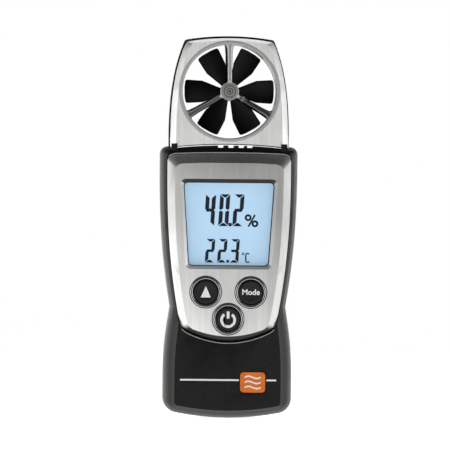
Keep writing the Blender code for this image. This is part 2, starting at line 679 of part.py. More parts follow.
def make_impeller(finishes):
    """Six flat blades pitched about their own radii, and the hub that joins them."""
    axle = bpy.data.objects.new("impeller_axis", None)
    axle.location = (0.0, IMPELLER_MIDDLE, VANE_HEIGHT)
    bpy.context.scene.collection.objects.link(axle)
    bpy.context.view_layer.update()
    centre = (0.0, VANE_HEIGHT)
    hub_profile = (
        (0.0, -0.0029), (0.0016, -0.0028), (0.0024, -0.0020),
        (0.0025, 0.0022), (0.0022, 0.0028), (0.0, 0.0028),
    )
    hub = [(radius, depth + IMPELLER_MIDDLE) for radius, depth in hub_profile]
    impeller = turned("impeller", centre, hub, 24, finishes["black"], axle)
    edge = blade_outline()
    flat = edge + [(radius, -half) for radius, half in reversed(edge)]
    for number in range(BLADE_COUNT):
        blade = slab(f"blade_{number + 1}", flat, -BLADE_THICKNESS / 2, BLADE_THICKNESS / 2)
        pitch = Matrix.Rotation(BLADE_PITCH, 4, "X")
        turn = Matrix.Rotation(-2 * math.pi * number / BLADE_COUNT, 4, "Y")
        blade.matrix_world = Matrix.Translation((0.0, IMPELLER_MIDDLE, VANE_HEIGHT)) @ turn @ pitch
        join(impeller, blade)
    cut(impeller, disc("impeller_bore", centre, SHAFT_RADIUS + GAP, -FAR, FAR, 16))
    disc("impeller_shaft", centre, SHAFT_RADIUS, -0.0056, 0.0062, 12, finishes["steel"], axle)
    ring = ((SHAFT_RADIUS + GAP, 0.0036), (0.0019, 0.0036), (0.0019, 0.0046), (SHAFT_RADIUS + GAP, 0.0046))
    turned("impeller_magnet", centre, ring, 16, finishes["steel"], axle)


def main():
    for old in list(bpy.data.objects):
        bpy.data.objects.remove(old, do_unlink=True)
    finishes = make_materials()
    make_front_shell(finishes["charcoal"])
    make_rear_shell(finishes["charcoal"])
    make_screws(finishes["steel"])
    make_panel(finishes["silver"])
    make_badge(finishes["amber"])
    make_display(finishes)
    make_board(finishes)
    make_buttons(finishes)
    make_cells(finishes)
    make_battery_cover(finishes["charcoal"])
    make_neck(finishes)
    make_head_covers(finishes)
    make_guards(finishes)
    make_wheel_fittings(finishes)
    make_impeller(finishes)


main()
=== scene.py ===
"""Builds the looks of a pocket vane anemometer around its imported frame."""

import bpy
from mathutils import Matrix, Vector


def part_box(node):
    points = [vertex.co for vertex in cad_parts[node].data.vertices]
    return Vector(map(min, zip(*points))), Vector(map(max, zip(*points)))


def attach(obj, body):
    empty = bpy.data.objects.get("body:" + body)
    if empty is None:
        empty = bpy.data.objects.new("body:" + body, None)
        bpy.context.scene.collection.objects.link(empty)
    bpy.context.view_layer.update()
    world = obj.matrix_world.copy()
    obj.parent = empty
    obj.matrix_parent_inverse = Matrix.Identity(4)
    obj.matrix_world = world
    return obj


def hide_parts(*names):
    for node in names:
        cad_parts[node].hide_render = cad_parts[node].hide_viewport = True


bl_info = {
    "name": "Vane Anemometer Maker",
    "version": (1, 0, 0),
    "blender": (4, 5, 0),
    "location": "View3D > Sidebar > Anemometer",
    "description": "Makes the shells, panel, display, keys and wind wheel of a pocket vane anemometer",
    "category": "Add Mesh",
}

import math

import bmesh
import bpy
from bpy.props import FloatProperty, FloatVectorProperty, PointerProperty, StringProperty
from mathutils import Matrix, Vector

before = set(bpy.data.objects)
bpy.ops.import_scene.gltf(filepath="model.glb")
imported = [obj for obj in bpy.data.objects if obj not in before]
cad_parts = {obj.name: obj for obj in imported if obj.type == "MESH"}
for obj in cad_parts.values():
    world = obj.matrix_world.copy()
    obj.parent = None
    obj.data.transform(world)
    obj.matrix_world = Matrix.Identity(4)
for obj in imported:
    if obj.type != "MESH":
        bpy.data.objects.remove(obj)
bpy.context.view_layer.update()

ROOT = "instrument"
JOINT_GAP = 0.0003
PRINT_THICKNESS = 0.00004
MM = 0.001
LINE_HEIGHT = 0.0127
ROOM_FRONT = 0.68
ROOM_SIDE = 0.75
ROOM_BACK = 1.4


# Places read from the frame.

def middle(node):
    low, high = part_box(node)
    return (low + high) / 2


WHEEL_CENTRE = middle("impeller_shaft")
GRIP_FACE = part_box("front_badge")[0].y + 0.0004
KEY_CAP_SHARE = 0.81
KEY_RING_INSIDE = (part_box("button_up")[1].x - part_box("button_up")[0].x) / 2 * KEY_CAP_SHARE + 0.0003
KEY_CENTRES = {name: middle(f"button_{name}") for name in ("up", "mode", "power")}


# Shader expressions.

class Value:
    """A number that varies over a surface. Sums of values add their Math nodes."""

    def __init__(self, paint, socket):
        self.paint = paint
        self.socket = socket

    def math(self, operation, first, second=0.0):
        return self.paint.node("ShaderNodeMath", {"operation": operation}, {0: first, 1: second})

    def __add__(self, other):
        return self.math("ADD", self, other)

    __radd__ = __add__

    def __sub__(self, other):
        return self.math("SUBTRACT", self, other)

    def __rsub__(self, other):
        return self.math("SUBTRACT", other, self)

    def __mul__(self, other):
        return self.math("MULTIPLY", self, other)

    __rmul__ = __mul__

    def __pow__(self, other):
        return self.math("POWER", self, other)

    def size(self):
        return self.math("ABSOLUTE", self)

    def limited(self, low, high):
        """The value rescaled so that low becomes 0 and high becomes 1."""
        settings = {"clamp": True}
        sockets = {"Value": self, "From Min": low, "From Max": high}
        return self.paint.node("ShaderNodeMapRange", settings, sockets)


class Paint:
    """A material, or a world, under construction."""

    def __init__(self, name, library=None):
        self.made = (bpy.data.materials if library is None else library).new(name)
        self.made.use_nodes = True
        self.tree = self.made.node_tree

    def put(self, node, sockets):
        for key, value in sockets.items():
            if isinstance(value, Value):
                self.tree.links.new(value.socket, node.inputs[key])
            else:
                node.inputs[key].default_value = value

    def node(self, kind, settings=None, sockets=None, output=0):
        """Adds a node of that kind: its settings first, then the values or links of its sockets."""
        made = self.tree.nodes.new(kind)
        for key, value in (settings or {}).items():
            if key == "stops":
                ramp = made.color_ramp
                for position, colour in value[1:-1]:
                    ramp.elements.new(position).color = colour
                ramp.elements[0].position, ramp.elements[0].color = value[0]
                ramp.elements[-1].position, ramp.elements[-1].color = value[-1]
            else:
                setattr(made, key, value)
        self.put(made, sockets or {})
        return Value(self, made.outputs[output])

    def place(self, stretch=(1.0, 1.0, 1.0)):
        """Object coordinates in millimetres, stretched along each axis."""
        at = self.node("ShaderNodeTexCoord", output=3)
        scale = tuple(1000.0 * side for side in stretch)
        return self.node("ShaderNodeVectorMath", {"operation": "MULTIPLY"}, {0: at, 1: scale})

    def noise(self, scale, detail=3.0, roughness=0.5, stretch=(1.0, 1.0, 1.0)):
        """Noise with that many bumps per millimetre."""
        sockets = {"Vector": self.place(stretch), "Scale": scale, "Detail": detail, "Roughness": roughness}
        return self.node("ShaderNodeTexNoise", None, sockets)

    def height(self):
        """How far up the instrument a point lies, in millimetres."""
        return self.axis(self.place(), 2)

    def axis(self, vector, index):
        return self.node("ShaderNodeSeparateXYZ", None, {0: vector}, output=index)

    def tilt(self, index):
        """The part of the surface's own direction along one axis."""
        return self.axis(self.node("ShaderNodeNewGeometry", output=1), index)

    def blend(self, share, first, second):
        """A colour between first and second, by share."""
        settings = {"data_type": "RGBA"}
        return self.node("ShaderNodeMix", settings, {0: share, 6: first, 7: second}, output=2)

    def bump(self, height, strength, depth):
        sockets = {"Height": height, "Strength": strength, "Distance": depth}
        return self.node("ShaderNodeBump", None, sockets)

    def finish(self, **sockets):
        named = {key.replace("_", " ").title(): value for key, value in sockets.items()}
        fixed = {"Ior": "IOR", "Specular Ior Level": "Specular IOR Level"}
        shader = self.tree.nodes["Principled BSDF"]
        self.put(shader, {fixed.get(key, key): value for key, value in named.items()})
        return self.made


def shade(colour, share):
    """A colour lightened or darkened by share, with full alpha."""
    return (*[min(channel * share, 1.0) for channel in colour[:3]], 1.0)


# Finishes.

def moulded_plastic(name, colour, roughness=0.42, grain=5.0, depth=0.02, painted_sheen=1.0):
    """Plastic with a fine spark-eroded grain. Above one, the flanks are painted that many times lighter than
    the front and the top, as painted light for the light they catch from the sides.
    """
    paint = Paint(name)
    grain_height = paint.noise(grain, 4.0, 0.6)
    grit = paint.noise(2.0, 2.0).limited(0.50, 0.72)
    cloud = paint.noise(0.12, 2.0)
    base = paint.blend(cloud.limited(0.3, 0.7), shade(colour, 0.85), shade(colour, 1.2))
    base = paint.blend(0.5 * grit, base, shade(colour, 4.0))
    # Painted sheen: faces turned sideways, and not upwards, get a lighter colour, as painted light.
    if painted_sheen > 1.0:
        turned = (1.0 - paint.tilt(1).size()).limited(0.02, 0.45) * (1.0 - paint.tilt(2).limited(0.2, 0.6))
        base = paint.blend(turned, base, shade(colour, painted_sheen))
    rough = roughness - 0.06 + 0.08 * cloud + 0.06 * grain_height
    normal = paint.bump(grain_height, 0.35, depth * MM)
    return paint.finish(base_color=base, roughness=rough, normal=normal, specular_ior_level=0.2)


def brushed_silver(name, colour, painted_undercut_shade=0.0, low=1.0, high=1.0):
    """Silver lacquer over fine brushing that runs up the part. Its downward-facing faces can be painted dark
    as painted shade, and then its upward-facing faces low on the part lose some metal so that they look
    lighter, as painted light.

    A gradient of painted shade and reflection can run over it: low and high are its lightness at the foot and
    at the top of the grip, and the change leans a little towards the right side.
    """
    stretch = (9.0, 9.0, 0.12)
    paint = Paint(name)
    fine = paint.noise(1.0, 4.0, 0.7, stretch)
    broad = paint.noise(0.25, 2.0, 0.5, tuple(side * 0.35 for side in stretch))
    cloud = paint.noise(0.07, 1.0)
    streak = 0.65 * fine + 0.35 * broad
    tone = 0.7 * streak + 0.3 * cloud
    base = paint.blend(tone.limited(0.3, 0.7), shade(colour, 0.70 * low), shade(colour, 1.12 * low))
    # Painted shade and reflection: the lightness runs from low at the foot to high at the top of the grip,
    # leaning towards the right.
    if low != high:
        across = paint.axis(paint.place(), 0) * 0.9
        upper = paint.blend(tone.limited(0.3, 0.7), shade(colour, 0.70 * high), shade(colour, 1.12 * high))
        base = paint.blend((paint.height() + across).limited(18.0, 88.0), base, upper)
    metal = 0.97
    # Painted shade on faces that turn downwards; painted light on upward faces below 60 mm, which lose some
    # metal to look lighter.
    if painted_undercut_shade:
        below = (0.0 - paint.tilt(2)).limited(0.22, 0.42)
        base = paint.blend(painted_undercut_shade * below, base, shade(colour, 0.06))
        painted_light_sill = paint.tilt(2).limited(0.2, 0.4) * (60.0 - paint.height()).limited(0.0, 1.0)
        metal = 0.97 - 0.5 * painted_light_sill
    rough = 0.26 + 0.16 * streak
    normal = paint.bump(streak, 0.25, 0.02 * MM)
    return paint.finish(base_color=base, metallic=metal, roughness=rough, normal=normal)


def polished_metal(name, colour, roughness=0.08):
    """Plating with faint smears and hairline scratches."""
    paint = Paint(name)
    smear = paint.noise(0.6, 3.0)
    hairs = paint.noise(3.0, 2.0, 0.5, (1.0, 1.0, 8.0))
    base = paint.blend(smear, shade(colour, 0.94), shade(colour, 1.0))
    rough = roughness + 0.08 * smear.limited(0.4, 0.8) + 0.03 * hairs
    return paint.finish(base_color=base, metallic=1.0, roughness=rough)


def plating_with_painted_reflection(name, dark, bright):
    """A plated ring whose crown, which faces the front, is painted dark as a painted reflection, with bright
    plating on its two flanks.
    """
    paint = Paint(name)
    smear = paint.noise(0.6, 3.0)
    flank = 1.0 - paint.tilt(1).size()
    edge = flank.limited(0.07, 0.20)
    # Painted reflection: faces turned to the front take the dark colour, faces turned aside the bright
    # plating.
    base = paint.blend(edge, shade(dark, 1.0), shade(bright, 1.0))
    return paint.finish(base_color=base, metallic=0.2 + 0.8 * edge, roughness=0.08 + 0.06 * smear)


def glossy_plastic(name, colour, roughness=0.22):
    """Smooth plastic with a soft ripple and light rubbing."""
    paint = Paint(name)
    ripple = paint.noise(0.5, 2.0)
    rub = paint.noise(6.0, 3.0)
    base = paint.blend(ripple.limited(0.3, 0.7), shade(colour, 0.9), shade(colour, 1.12))
    rough = roughness + 0.07 * rub + 0.04 * ripple
    normal = paint.bump(ripple, 0.10, 0.02 * MM)
    return paint.finish(base_color=base, roughness=rough, normal=normal, specular_ior_level=0.3)


def printed_ink(name, colour, roughness=0.45):
    """A thin layer of ink with a slightly uneven edge of colour."""
    paint = Paint(name)
    speckle = paint.noise(12.0, 2.0)
    base = paint.blend(speckle, shade(colour, 0.93), shade(colour, 1.04))
    return paint.finish(base_color=base, roughness=roughness + 0.1 * speckle, specular_ior_level=0.2)


def display_glass(name, colour, glow):
    """The backlit display: pale blue, a little brighter in its middle, over a faint reflector grain."""
    paint = Paint(name)
    low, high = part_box("display_window")
    centre = (low + high) / 2
    at = paint.place()
    across = (paint.axis(at, 0) - centre.x / MM).size().limited(9.0, 16.0)
    along = (paint.axis(at, 2) - centre.z / MM).size().limited(8.0, 15.0)
    edge = 0.5 * (across + along)
    grain = paint.noise(9.0, 2.0)
    tone = paint.blend(edge, shade(colour, 1.0), shade(colour, 0.88))
    tone = paint.blend(0.12 * grain, tone, shade(colour, 1.3))
    return paint.finish(
        base_color=tone, roughness=0.35 + 0.1 * grain, emission_color=tone, emission_strength=glow
    )


def clear_pane(name):
    """The clear window: see-through, with a weak gloss."""
    paint = Paint(name)
    smudge = paint.noise(0.25, 3.0)
    facing = paint.node("ShaderNodeLayerWeight", None, {"Blend": 0.35}, output=1)
    cover = 0.03 + 0.01 * smudge + 0.5 * facing ** 3.0
    return paint.finish(base_color=(0.10, 0.12, 0.14, 1.0), roughness=0.04 + 0.05 * smudge, alpha=cover)


def circuit_board(name, colour):
    """Solder mask with fine tracks below it."""
    paint = Paint(name)
    sockets = {"Vector": paint.place(), "Scale": 0.9}
    tracks = paint.node("ShaderNodeTexVoronoi", {"feature": "DISTANCE_TO_EDGE"}, sockets)
    line = 1.0 - tracks.limited(0.02, 0.07)
    base = paint.blend(line, shade(colour, 0.8), shade(colour, 1.7))
    return paint.finish(base_color=base, roughness=0.30 + 0.2 * line, normal=paint.bump(line, 0.2, 0.03 * MM))


def brushed_steel(name, colour, roughness=0.28):
    """Plain steel with fine turning marks."""
    paint = Paint(name)
    marks = paint.noise(5.0, 3.0, 0.6, (1.0, 6.0, 1.0))
    base = paint.blend(marks, shade(colour, 0.85), shade(colour, 1.08))
    return paint.finish(base_color=base, metallic=1.0, roughness=roughness + 0.12 * marks)


def turned_steel(name, colour):
    """Turned steel painted in concentric rings of light and shade: a painted highlight at the rim, and
    painted shade in the grooves and at the centre.
    """
    paint = Paint(name)
    at = paint.place()
    across = paint.axis(at, 0) - WHEEL_CENTRE.x / MM
    along = paint.axis(at, 2) - WHEEL_CENTRE.z / MM
    radius = (across * across + along * along) ** 0.5
    # Painted light and shade: the lightness at each share of the hub's 3.1 mm radius.
    painted_light_bands = [(0.0, 0.15), (0.10, 0.15), (0.14, 1.1), (0.24, 0.9), (0.30, 0.35), (0.36, 0.30), (0.42, 1.1),
             (0.52, 1.0), (0.58, 0.4), (0.66, 0.5), (0.72, 1.2), (0.84, 1.1), (0.88, 0.5), (0.92, 1.9),
             (1.0, 1.9)]
    stops = [(spot, shade(colour, share)) for spot, share in painted_light_bands]
    base = paint.node("ShaderNodeValToRGB", {"stops": stops}, {0: radius.limited(0.0, 3.1)})
    marks = paint.noise(4.0, 3.0)
    return paint.finish(base_color=base, metallic=0.9, roughness=0.22 + 0.15 * marks)


def soft_rubber(name, colour):
    """Matt rubber with a dusty bloom."""
    paint = Paint(name)
    bloom = paint.noise(1.5, 4.0)
    base = paint.blend(bloom.limited(0.4, 0.8), shade(colour, 0.9), shade(colour, 1.6))
    normal = paint.bump(bloom, 0.3, 0.03 * MM)
    return paint.finish(base_color=base, roughness=0.70 + 0.2 * bloom, normal=normal)


def cell_jacket(name, colour, band):
    """A cell's printed jacket: a coloured body and a pale band at one end."""
    paint = Paint(name)
    wrap = paint.noise(1.0, 2.0, 0.5, (1.0, 1.0, 4.0))
    base = paint.blend((paint.height() - 40.0).limited(0.0, 0.2), shade(colour, 1.0), shade(band, 1.0))
    base = paint.blend(0.15 * wrap, base, shade(band, 0.5))
    return paint.finish(base_color=base, roughness=0.28 + 0.1 * wrap, metallic=0.35)


def pale_floor(name, colour):
    """Plain matt studio paper."""
    paint = Paint(name)
    fibre = paint.noise(0.02, 3.0)
    base = paint.blend(fibre, shade(colour, 0.985), shade(colour, 1.0))
    rough = 0.85 + 0.1 * fibre
    return paint.finish(base_color=base, roughness=rough, emission_color=base, emission_strength=0.9)


# Outlines, each a list of (x, z) points.

def arc(centre, radius, start, end, steps):
    """Points on an arc from start to end degrees, both ends included."""
    points = []
    for step in range(steps + 1):
        angle = math.radians(start + (end - start) * step / steps)
        points.append((centre[0] + radius * math.cos(angle), centre[1] + radius * math.sin(angle)))
    return points


def band(centre, outer, inner, start, end, steps=48):
    """The outline of a flat ring's sector."""
    return arc(centre, outer, start, end, steps) + arc(centre, inner, end, start, steps)


def bar(start, end, thickness):
    """The outline of a straight stroke from start to end."""
    along = Vector((end[0] - start[0], end[1] - start[1])).normalized()
    side = Vector((-along.y, along.x)) * thickness / 2
    return [(start[0] + side.x, start[1] + side.y), (start[0] - side.x, start[1] - side.y),
            (end[0] - side.x, end[1] - side.y), (end[0] + side.x, end[1] + side.y)]


# Meshes.

def add_piece(name, bm, finish, body, replaced=(), smooth=35):
    """Makes the mesh an object of the instrument, riding on body."""
    bmesh.ops.recalc_face_normals(bm, faces=bm.faces)
    mesh = bpy.data.meshes.new(name)
    bm.to_mesh(mesh)
    bm.free()
    mesh.shade_smooth()
    mesh.set_sharp_from_angle(angle=math.radians(smooth))
    made = bpy.data.objects.new(name, mesh)
    bpy.context.scene.collection.objects.link(made)
    mesh.materials.append(finish)
    if replaced:
        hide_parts(*replaced)
    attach(made, body)
    return made


def extrude_outline(bm, outline, front, back):
    """A prism of an outline between two depths."""
    near = [bm.verts.new((x, front, z)) for x, z in outline]
    far = [bm.verts.new((x, back, z)) for x, z in outline]
    for side in range(len(outline)):
        after = (side + 1) % len(outline)
        bm.faces.new((near[side], near[after], far[after], far[side]))
    caps = [bm.faces.new(near), bm.faces.new(far)]
    bmesh.ops.triangulate(bm, faces=caps)


def skin(bm, loops):
    """Faces between closed loops of equal length, and over both ends."""
    for near, far in zip(loops, loops[1:]):
        for corner in range(len(near)):
            after = (corner + 1) % len(near)
            bm.faces.new((near[corner], near[after], far[after], far[corner]))
    bm.faces.new(loops[0])
    bm.faces.new(loops[-1])


def spin_profile(bm, centre, profile, sides, closed=False):
    """A (radius, depth) profile turned about an axis along Y."""
    loops = []
    for radius, depth in profile:
        count = sides if radius > 0 else 1
        loops.append([
            bm.verts.new((
                centre[0] + radius * math.cos(2 * math.pi * side / sides), depth,
                centre[1] + radius * math.sin(2 * math.pi * side / sides),
            ))
            for side in range(count)
        ])
    pairs = list(zip(loops, loops[1:]))
    if closed:
        pairs.append((loops[-1], loops[0]))
    for near, far in pairs:
        for side in range(sides):
            after = (side + 1) % sides
            corners = [near[side % len(near)], near[after % len(near)]]
            corners += [far[after % len(far)], far[side % len(far)]]
            unique = list(dict.fromkeys(corners))
            if len(unique) > 2:
                bm.faces.new(unique)


def refined(node, name, finish, body, edge=0.00020, angle=35, soften=None):
    """A node's own shape with its flats made whole and its sharp edges rounded."""
    bm = bmesh.new()
    bm.from_mesh(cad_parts[node].data)
    bmesh.ops.remove_doubles(bm, verts=bm.verts, dist=0.000002)
    bmesh.ops.dissolve_limit(
        bm, angle_limit=math.radians(0.6), verts=bm.verts, edges=bm.edges, use_dissolve_boundaries=False
    )
    if soften:
        soften(bm)
    made = add_piece(name, bm, finish, body, replaced=(node,), smooth=angle)
    if edge:
        round_edges(made, edge, angle)
    return made


def round_edges(made, edge, angle):
    rounding = made.modifiers.new("rounded_edges", "BEVEL")
    rounding.width = edge
    rounding.segments = 2
    rounding.limit_method = "ANGLE"
    rounding.angle_limit = math.radians(angle)
    rounding.harden_normals = True
    rounding.use_clamp_overlap = True


def at_depth(edge, depth):
    return all(abs(vert.co.y - depth) < 0.00001 for vert in edge.verts)


def soften_rim(bm, face, step, width, wanted, least=0.2):
    """Rounds the crease round a raised face, after removing the narrow step beside it, if there is one."""
    if step is not None:
        narrow = [edge for edge in bm.edges if at_depth(edge, step)]
        bmesh.ops.dissolve_edges(bm, edges=narrow, use_verts=True)
    crease = []
    for edge in bm.edges:
        if at_depth(edge, face) and len(edge.link_faces) == 2:
            half_way = (edge.verts[0].co + edge.verts[1].co) / 2
            if wanted(half_way) and least < edge.calc_face_angle(0.0) < 1.2:
                crease.append(edge)
    bmesh.ops.bevel(bm, geom=crease, offset=width, offset_type="OFFSET", segments=6, profile=0.5,
                    affect="EDGES", clamp_overlap=True)


def reface(node, finish):
    """Gives a node that keeps its own shape a finish."""
    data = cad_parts[node].data
    data.materials.clear()
    data.materials.append(finish)


# Settings.

def colour_setting(name, description, default):
    return FloatVectorProperty(
        name=name, description=description, subtype="COLOR", size=3, min=0.0, max=1.0, default=default
    )


class BodySettings(bpy.types.PropertyGroup):
    """Sizes and colours of the shells and the panel."""

    shell_colour: colour_setting("Shell", "Colour of the moulded shells", (0.0045, 0.0045, 0.0043))
    # Painted sheen: how many times lighter the flanks are painted than the front, as painted light.
    flank_painted_sheen: FloatProperty(
        name="Flank sheen", description="How many times lighter the flanks are than the front",
        default=18.0, min=1.0,
    )
    silver: colour_setting("Silver", "Colour of the brushed panel and head", (0.88, 0.875, 0.86))
    edge: FloatProperty(
        name="Edge radius", description="Rounding of moulded edges", default=0.00022, min=0.0, unit="LENGTH"
    )
    badge_colour: colour_setting("Badge", "Colour of the badge", (0.72, 0.17, 0.012))


class DisplaySettings(bpy.types.PropertyGroup):
    """What the display shows, and its colours."""

    upper: StringProperty(name="Upper reading", description="Digits of the large reading", default="40.2")
    lower: StringProperty(name="Lower reading", description="Digits of the small reading", default="22.3")
    backlight: colour_setting("Backlight", "Colour of the lit display", (0.386, 0.565, 0.740))
    ink: colour_setting("Ink", "Colour of the digits", (0.006, 0.010, 0.022))
    glow: FloatProperty(name="Glow", description="Strength of the backlight", default=0.55, min=0.0)
    slant: FloatProperty(
        name="Slant", description="Lean of the digits", default=math.radians(3.5), subtype="ANGLE"
    )


class KeySettings(bpy.types.PropertyGroup):
    """Colours and symbols of the keys."""

    cap_colour: colour_setting("Cap", "Colour of the key caps", (0.005, 0.005, 0.0055))
    symbol_colour: colour_setting("Symbol", "Colour of the key symbols", (0.86, 0.86, 0.85))
    ring_colour: colour_setting("Ring", "Colour of the plated rings", (0.80, 0.80, 0.80))
    word: StringProperty(name="Word", description="Word on the right key", default="Mode")


class WheelSettings(bpy.types.PropertyGroup):
    """Colours of the wind wheel and its guards."""

    blade_colour: colour_setting("Blades", "Colour of the wind wheel", (0.007, 0.007, 0.007))
    # The ring, the upper strut and the lower struts are one silver part. Their three colours are painted
    # light and shade: the lower struts are painted dark as a painted reflection, and the upper strut and the
    # ring are set at lighter greys for how they are lit.
    strut_painted_reflection_colour: colour_setting("Struts", "Colour of the lower struts and the hub", (0.24, 0.24, 0.24))
    hub_colour: colour_setting("Hub", "Colour of the hub cap", (0.32, 0.32, 0.31))
    guard_colour: colour_setting("Guard", "Colour of the upper strut", (0.60, 0.60, 0.59))
    ring_colour: colour_setting("Ring", "Colour of the ring round the opening", (0.46, 0.46, 0.45))


class StageSettings(bpy.types.PropertyGroup):
    """Floor, light and camera."""

    floor_colour: colour_setting("Floor", "Colour of the floor", (0.93, 0.93, 0.93))
    side_power: FloatProperty(
        name="Side light", description="Power of the left light", default=1.4, unit="POWER"
    )
    floor_power: FloatProperty(
        name="Floor light", description="Power over the floor", default=12.0, unit="POWER"
    )
    azimuth: FloatProperty(
        name="Azimuth", description="Angle of the camera round the part",
        default=math.radians(-1.5), subtype="ANGLE",
    )
    roll: FloatProperty(
        name="Roll", description="Turn of the camera about its own axis",
        default=math.radians(0.5), subtype="ANGLE",
    )
    distance: FloatProperty(
        name="Distance", description="From the camera to the part", default=3.5, min=0.1, unit="LENGTH"
    )
    field: FloatProperty(
        name="Field", description="Width that the camera sees at the part", default=0.1511, unit="LENGTH"
    )


class MakerSettings(bpy.types.PropertyGroup):
    """All settings of the maker."""

    body: PointerProperty(type=BodySettings)
    display: PointerProperty(type=DisplaySettings)
    keys: PointerProperty(type=KeySettings)
    wheel: PointerProperty(type=WheelSettings)
    stage: PointerProperty(type=StageSettings)


def settings():
    return bpy.context.scene.anemometer


# Operators.

class ANEMOMETER_OT_shells(bpy.types.Operator):
    """Make the front and rear shells, the neck collar and the rear head cover"""

    bl_idname = "anemometer.shells"
    bl_label = "Shells"

    def execute(self, context):
        look = settings().body
        # The grip's flanks carry the painted sheen.
        charcoal = moulded_plastic("charcoal_plastic", look.shell_colour, painted_sheen=look.flank_painted_sheen)
        refined("front_shell", "front_shell_fine", charcoal, ROOT, look.edge, soften=self.soften)
        refined("rear_shell", "rear_shell_fine", charcoal, ROOT, look.edge)
        refined("neck_collar", "neck_collar_fine", charcoal, ROOT, look.edge * 0.5)
        plain = moulded_plastic("rim_plastic", look.shell_colour)
        refined("head_rear_cover", "head_rear_cover_fine", plain, ROOT, look.edge * 0.3)
        return {"FINISHED"}

    def soften(self, bm):
        """Rounds the crease between the grip's flat front and its flanks."""
        soften_rim(bm, GRIP_FACE, None, 0.0012, lambda point: point.z < 0.0850, 0.12)


class ANEMOMETER_OT_battery_cover(bpy.types.Operator):
    """Make the sliding battery cover with its arrow, and the rear screws"""

    bl_idname = "anemometer.battery_cover"
    bl_label = "Battery cover"

    def execute(self, context):
        look = settings().body
        charcoal = moulded_plastic("cover_plastic", look.shell_colour, 0.46, 6.0)
        cover = refined("battery_cover", "battery_cover_fine", charcoal, "cover", 0)
        self.arrow(cover)
        round_edges(cover, look.edge, 35)
        steel = brushed_steel("screw_steel", (0.42, 0.42, 0.43))
        for number in range(1, 5):
            self.screw(number, steel)
        return {"FINISHED"}

    def arrow(self, cover):
        """Engraves the arrow that shows which way the cover slides."""
        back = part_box("battery_cover")[1].y
        shaft = [(-0.0007, 0.0446), (0.0007, 0.0446), (0.0007, 0.0404), (-0.0007, 0.0404)]
        head = [(-0.0022, 0.0405), (0.0022, 0.0405), (0.0, 0.0376)]
        for outline in (shaft, head):
            bm = bmesh.new()
            extrude_outline(bm, outline, back - 0.0003, back + 0.0010)
            carve(cover, bm)

    def screw(self, number, finish):
        """A pan-head screw with a cross recess."""
        node = f"rear_screw_{number}"
        low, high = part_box(node)
        centre = ((low.x + high.x) / 2, (low.z + high.z) / 2)
        radius = (high.x - low.x) / 2
        head = high.y - 0.0010
        neck = radius * 0.45
        profile = [
            (0.0, low.y), (neck, low.y + 0.0005), (neck, head), (radius, head), (radius, head + 0.0005),
            (radius * 0.93, head + 0.0008), (radius * 0.7, high.y), (0.0, high.y),
        ]
        bm = bmesh.new()
        spin_profile(bm, centre, profile, 40)
        made = add_piece(f"{node}_fine", bm, finish, ROOT, replaced=(node,))
        for half_x, half_z in ((0.0010, 0.00022), (0.00022, 0.0010)):
            bm = bmesh.new()
            left, right = centre[0] - half_x, centre[0] + half_x
            foot, top = centre[1] - half_z, centre[1] + half_z
            corners = [(left, foot), (right, foot), (right, top), (left, top)]
            extrude_outline(bm, corners, high.y - 0.0006, high.y + 0.0010)
            carve(made, bm)


def carve(target, bm):
    """Cuts a shape out of a piece for good."""
    bmesh.ops.recalc_face_normals(bm, faces=bm.faces)
    mesh = bpy.data.meshes.new("cutter")
    bm.to_mesh(mesh)
    bm.free()
    cutter = bpy.data.objects.new("cutter", mesh)
    bpy.context.scene.collection.objects.link(cutter)
    modifier = target.modifiers.new("carve", "BOOLEAN")
    modifier.operation = "DIFFERENCE"
    modifier.solver = "EXACT"
    modifier.object = cutter
    bpy.context.view_layer.update()
    shape = target.evaluated_get(bpy.context.evaluated_depsgraph_get())
    carved = bpy.data.meshes.new_from_object(shape)
    carved.set_sharp_from_angle(angle=math.radians(35))
    target.modifiers.remove(modifier)
    target.data = carved
    bpy.data.objects.remove(cutter, do_unlink=True)


